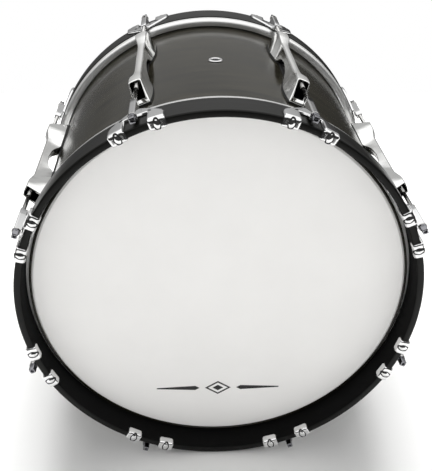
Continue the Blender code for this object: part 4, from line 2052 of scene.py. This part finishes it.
@dataclass
class TensionRod:
    """Tension rod with a threaded tip, a collar, a square key end with a hollow face, and a loose washer."""

    shop: Workshop
    radius: float = 2.6 * MM
    root_radius: float = 2.25 * MM
    tip: float = 108 * MM
    thread_start: float = 66 * MM
    pitch: float = 25.4 / 24 * MM
    washer_back: float = -19.8 * MM
    washer: float = 1.3 * MM
    washer_radius: float = 5.2 * MM
    collar: float = 1.6 * MM
    collar_radius: float = 4.6 * MM
    key: float = 6.6 * MM
    key_length: float = 9.2 * MM
    key_hollow: float = 1.9 * MM

    @property
    def collar_back(self) -> float:
        """Return where the collar meets the washer."""
        return self.washer_back - self.washer - 0.05 * MM

    def axis(self) -> Matrix:
        """Return the place that turns local Z to the rod's line, tip first."""
        return Matrix.Translation((0, 0, self.shop.layout.rod_axis)) @ Matrix.Rotation(-math.pi / 2, 4, "X")

    def shank(self) -> Mesh:
        """Return the shank with its thread, in the hardware frame.

        Returns:
            The closed core with its thread.
        """
        steel = self.shop.finishes.steel
        collar = self.collar_back
        start, tip = self.thread_start, self.tip
        profile = [(0.0, collar - self.collar / 2), (self.radius, collar - self.collar / 2),
                   (self.radius, start - 0.6 * MM), (self.root_radius, start),
                   (self.root_radius, tip - 0.8 * MM),
                   (self.root_radius - 0.6 * MM, tip), (0.0, tip)]
        core = self.shop.lathe.turn("rod_core", profile, 24, steel, closed=False)
        crest = self.pitch * ThreadCutter.crest_share
        thread = self.shop.threads.cut(self.radius - crest, tip - start - 1.4 * MM, self.pitch, steel)
        thread.transform(Matrix.Translation((0, 0, start)))
        whole = merged("rod_shank", [core, thread])
        whole.transform(self.axis())
        return whole

    def key_end(self) -> Mesh:
        """Return the collar and the square key end, in the hardware frame.

        Returns:
            The closed mesh.
        """
        rings = []
        collar, edge = self.collar, 0.35 * MM
        half = self.key / 2
        turns = [math.tau * i / 32 for i in range(32)]

        def circle(radius: float, level: float) -> list[Vector]:
            """Return a ring of 32 points."""
            return [Vector((radius * math.cos(turn), radius * math.sin(turn), level)) for turn in turns]

        def square(size: float, level: float) -> list[Vector]:
            """Return a square with slightly rounded corners, also of 32 points.

            Args:
                size: Half its width.
                level: Its height.

            Returns:
                The ring.
            """
            points = []
            for turn in turns:
                c, s = math.cos(turn), math.sin(turn)
                reach = size / (abs(c) ** 14 + abs(s) ** 14) ** (1 / 14)
                points.append(Vector((reach * c, reach * s, level)))
            return points

        front = self.collar_back - collar
        end = front - self.key_length
        rings += [circle(self.radius, self.collar_back), circle(self.collar_radius - edge, self.collar_back),
                  circle(self.collar_radius, self.collar_back - edge),
                  circle(self.collar_radius, front + edge),
                  circle(self.collar_radius - edge, front), square(half + 0.4 * MM, front),
                  square(half, front - 0.4 * MM), square(half, end + 0.8 * MM),
                  square(half - 0.25 * MM, end + 0.25 * MM),
                  square(half - 0.7 * MM, end), circle(self.key_hollow + 0.3 * MM, end),
                  circle(self.key_hollow, end + 0.3 * MM), circle(self.key_hollow, end + 2.5 * MM)]
        mesh = ring_loft("rod_key", rings)
        mesh.transform(self.axis())
        return mesh

    def washer_ring(self) -> Mesh:
        """Return the washer between the sleeve and the collar, in the hardware frame.

        Returns:
            The closed mesh.
        """
        back, front = self.washer_back, self.washer_back - self.washer
        edge, bore = 0.25 * MM, self.radius + 0.15 * MM
        outer = self.washer_radius
        profile = [(bore, back), (outer - edge, back), (outer, back - edge), (outer, front + edge),
                   (outer - edge, front), (bore, front)]
        return self.shop.lathe.turn("washer", profile, 32, self.shop.finishes.steel, self.axis())

    def build(self, end: End) -> None:
        """Build the eight rods and their washers at one end.

        Args:
            end: Which end of the drum.
        """
        layout, finishes = self.shop.layout, self.shop.finishes
        shank, key = self.shank(), self.key_end()
        for number in range(1, layout.lugs + 1):
            node = f"{end.label}_rod_{number}"
            body = f"{end.label}_tension_rod_{number}"
            bar = self.shop.carousel.place("rod", shank, finishes.steel, end, number)
            self.shop.fit(f"{node}_shank", bar, finishes.steel, body, [node])
            head = self.shop.carousel.place("key", key, finishes.grey_steel, end, number)
            self.shop.fit(f"{node}_key_end", head, finishes.grey_steel, body)
        washers = self.shop.carousel.place("washers", self.washer_ring(), finishes.steel, end)
        self.shop.fit(f"{end.label}_rod_washers", washers, finishes.steel, end.hoop_body)


# Vent


@dataclass
class Vent:
    """Chromed vent grommet in the top of the shell, with its lock ring inside."""

    shop: Workshop
    flange: float = 9.0 * MM
    height: float = 1.8 * MM
    bore: float = 5.0 * MM
    tube: float = 6.2 * MM
    shell_wall: float = 7.5 * MM
    sides: int = 64

    def build(self) -> None:
        """Turn the grommet and its lock ring."""
        layout, chrome = self.shop.layout, self.shop.finishes.chrome
        seat = layout.shell_radius + 0.25 * MM
        inside = layout.shell_radius - self.shell_wall
        place = Matrix.Translation((0, 0, layout.axis_height))
        low = inside - 3 * MM
        crown = self.height - 0.5 * MM
        profile = [(self.tube, seat), (self.flange - 0.3 * MM, seat), (self.flange, seat + 0.3 * MM)]
        profile += arc((self.flange - crown, seat + 0.4 * MM), crown, 0, 90, 6)
        profile += arc((self.bore + crown, seat + 0.4 * MM), crown, 90, 180, 6)
        profile += [(self.bore, low), (self.tube, low)]
        grommet = self.shop.lathe.turn("grommet", profile, self.sides, chrome, place)
        self.shop.fit("vent_eyelet", grommet, chrome, "root", ["vent_grommet"])
        top, clear = inside - 0.2 * MM, self.tube + 0.2 * MM
        ring = [(clear, top), (clear + 3 * MM, top), (clear + 3 * MM, top - 1.1 * MM),
                (clear + 2.6 * MM, top - 1.5 * MM), (clear, top - 1.5 * MM)]
        lock = self.shop.lathe.turn("lock_ring", ring, self.sides, chrome, place)
        self.shop.fit("vent_lock", lock, chrome, "root", ["vent_lock_ring"])


# Studio


@dataclass
class Studio:
    """Pale floor, soft light and the camera."""

    camera_place: tuple[float, float, float] = (-0.0473, -0.95984, 0.76716)
    camera_turn: float = math.radians(-3.06)
    camera_drop: float = math.radians(29.90)
    camera_roll: float = math.radians(0.88)
    lens: float = 59.276
    floor_size: float = 2.4
    skirting_light: float = 0.16
    wall_light: float = 0.5
    ceiling_light: float = 1.3
    flag_light: float = 0.04
    fill_light: float = 0.4

    def camera(self) -> None:
        """Create the camera and make it the scene's."""
        data = bpy.data.cameras.new("camera")
        data.lens = self.lens
        data.sensor_width = 36.0
        data.clip_end = 100.0
        camera = bpy.data.objects.new("camera", data)
        bpy.context.scene.collection.objects.link(camera)
        turn = (Matrix.Rotation(self.camera_turn, 4, "Z")
                @ Matrix.Rotation(math.pi / 2 - self.camera_drop, 4, "X")
                @ Matrix.Rotation(self.camera_roll, 4, "Z"))
        camera.matrix_world = Matrix.Translation(self.camera_place) @ turn
        bpy.context.scene.camera = camera

    def floor(self) -> None:
        """Lay a plain pale floor."""
        half = self.floor_size / 2
        bm = bmesh.new()
        corners = [(-half, -half), (half, -half), (half, half), (-half, half)]
        bm.faces.new([bm.verts.new((x, y, -0.0002)) for x, y in corners])
        floor = holder_of("floor", finish_bmesh(bm, "floor"))
        paint = Finish("matt_white_floor", "", "#F6F6F5", 0.9, specular=0.2)
        floor.data.materials.append(paint.material())

    def world(self) -> None:
        """Surround the drum with a white room, whose low parts are greyer for what metal and lacquer mirror.

        The backdrop that the camera sees stays white, and what lights the matt surfaces is even.
        """
        world = bpy.data.worlds.new("studio")
        world.use_nodes = True
        tree = world.node_tree
        tree.nodes.clear()
        place = add_node(tree, "ShaderNodeTexCoord")
        parts = add_node(tree, "ShaderNodeSeparateXYZ", {0: place.outputs["Generated"]})
        height, depth = parts.outputs["Z"], parts.outputs["Y"]
        across = parts.outputs["X"]

        def ramp(socket: Socket, start: float, end: float) -> Socket:
            """Return a factor that rises from 0 to 1 between two values of a direction."""
            return add_node(tree, "ShaderNodeMapRange", {0: socket, 1: start, 2: end}).outputs[0]

        def both(first: Socket, second: Socket) -> Socket:
            """Return the product of two factors."""
            return add_node(tree, "ShaderNodeMath", {0: first, 1: second}, operation="MULTIPLY").outputs[0]

        def change(value: float | Socket, level: float, factor: Socket) -> Socket:
            """Return a brightness that a factor moves to another level."""
            return add_node(tree, "ShaderNodeMix", {0: factor, 2: value, 3: level}).outputs[0]

        mirrored = change(self.skirting_light, self.wall_light, ramp(height, 0.0, 0.25))
        mirrored = change(mirrored, self.ceiling_light, ramp(height, 0.42, 0.55))
        mirrored = change(mirrored, self.flag_light, both(ramp(depth, -0.1, -0.3), ramp(height, 0.62, 0.5)))
        mirrored = change(mirrored, self.flag_light, both(ramp(across, 0.16, 0.26), ramp(height, 0.14, 0.06)))
        path = add_node(tree, "ShaderNodeLightPath")
        even = add_node(tree, "ShaderNodeMix",
                        {0: path.outputs["Is Diffuse Ray"], 2: mirrored, 3: self.fill_light})
        seen = add_node(tree, "ShaderNodeMix", {0: path.outputs["Is Camera Ray"], 2: even.outputs[0], 3: 1.0})
        light = add_node(tree, "ShaderNodeBackground", {"Strength": seen.outputs[0], "Color": (1, 1, 1, 1)})
        add_node(tree, "ShaderNodeOutputWorld", {"Surface": light.outputs[0]})
        bpy.context.scene.world = world

    def lamp(self, name: str, place: tuple[float, float, float], size: float, power: float,
             mirrored: bool = True) -> None:
        """Hang a square soft box that faces the drum.

        Args:
            name: Name of the lamp.
            place: Where it hangs.
            size: Length of its sides.
            power: Its power in watts.
            mirrored: Whether shiny surfaces show it.
        """
        data = bpy.data.lights.new(name, "AREA")
        data.size = size
        data.energy = power
        lamp = bpy.data.objects.new(name, data)
        lamp.visible_glossy = mirrored
        bpy.context.scene.collection.objects.link(lamp)
        aim = Vector((0, 0, 0.24)) - Vector(place)
        lamp.matrix_world = Matrix.Translation(place) @ aim.to_track_quat("-Z", "Y").to_matrix().to_4x4()

    def build(self) -> None:
        """Set up the whole studio."""
        bpy.context.scene.view_settings.view_transform = "Standard"
        self.camera()
        self.floor()
        self.world()
        self.lamp("overhead_softbox", (0.0, 0.9, 2.4), 1.8, 100.0, mirrored=False)
        for side, name in ((-1, "left_fill"), (1, "right_fill")):
            self.lamp(name, (side * 2.2, -0.1, 0.35), 1.0, 16.0, mirrored=False)
        self.lamp("front_softbox", (0.0, -3.0, 0.2), 2.0, 29.0, mirrored=False)


def main() -> None:
    """Build every sub-assembly in order, then the studio."""
    logging.basicConfig(level=logging.INFO, format="%(name)s: %(message)s")
    layout = Layout.from_frame()
    shop = Workshop(layout, Finishes.for_drum(layout), Lathe(), Carousel(layout), ThreadCutter())
    Shell(shop).build()
    Lug(shop).build()
    LugFasteners(shop).build()
    Vent(shop).build()
    for end in End:
        Head(shop).build(end)
        CounterHoop(shop).build(end)
        ClawYoke(shop).build(end)
        TensionRod(shop).build(end)
    Ornament(shop).build()
    Studio().build()


if __name__ == "__main__":
    main()
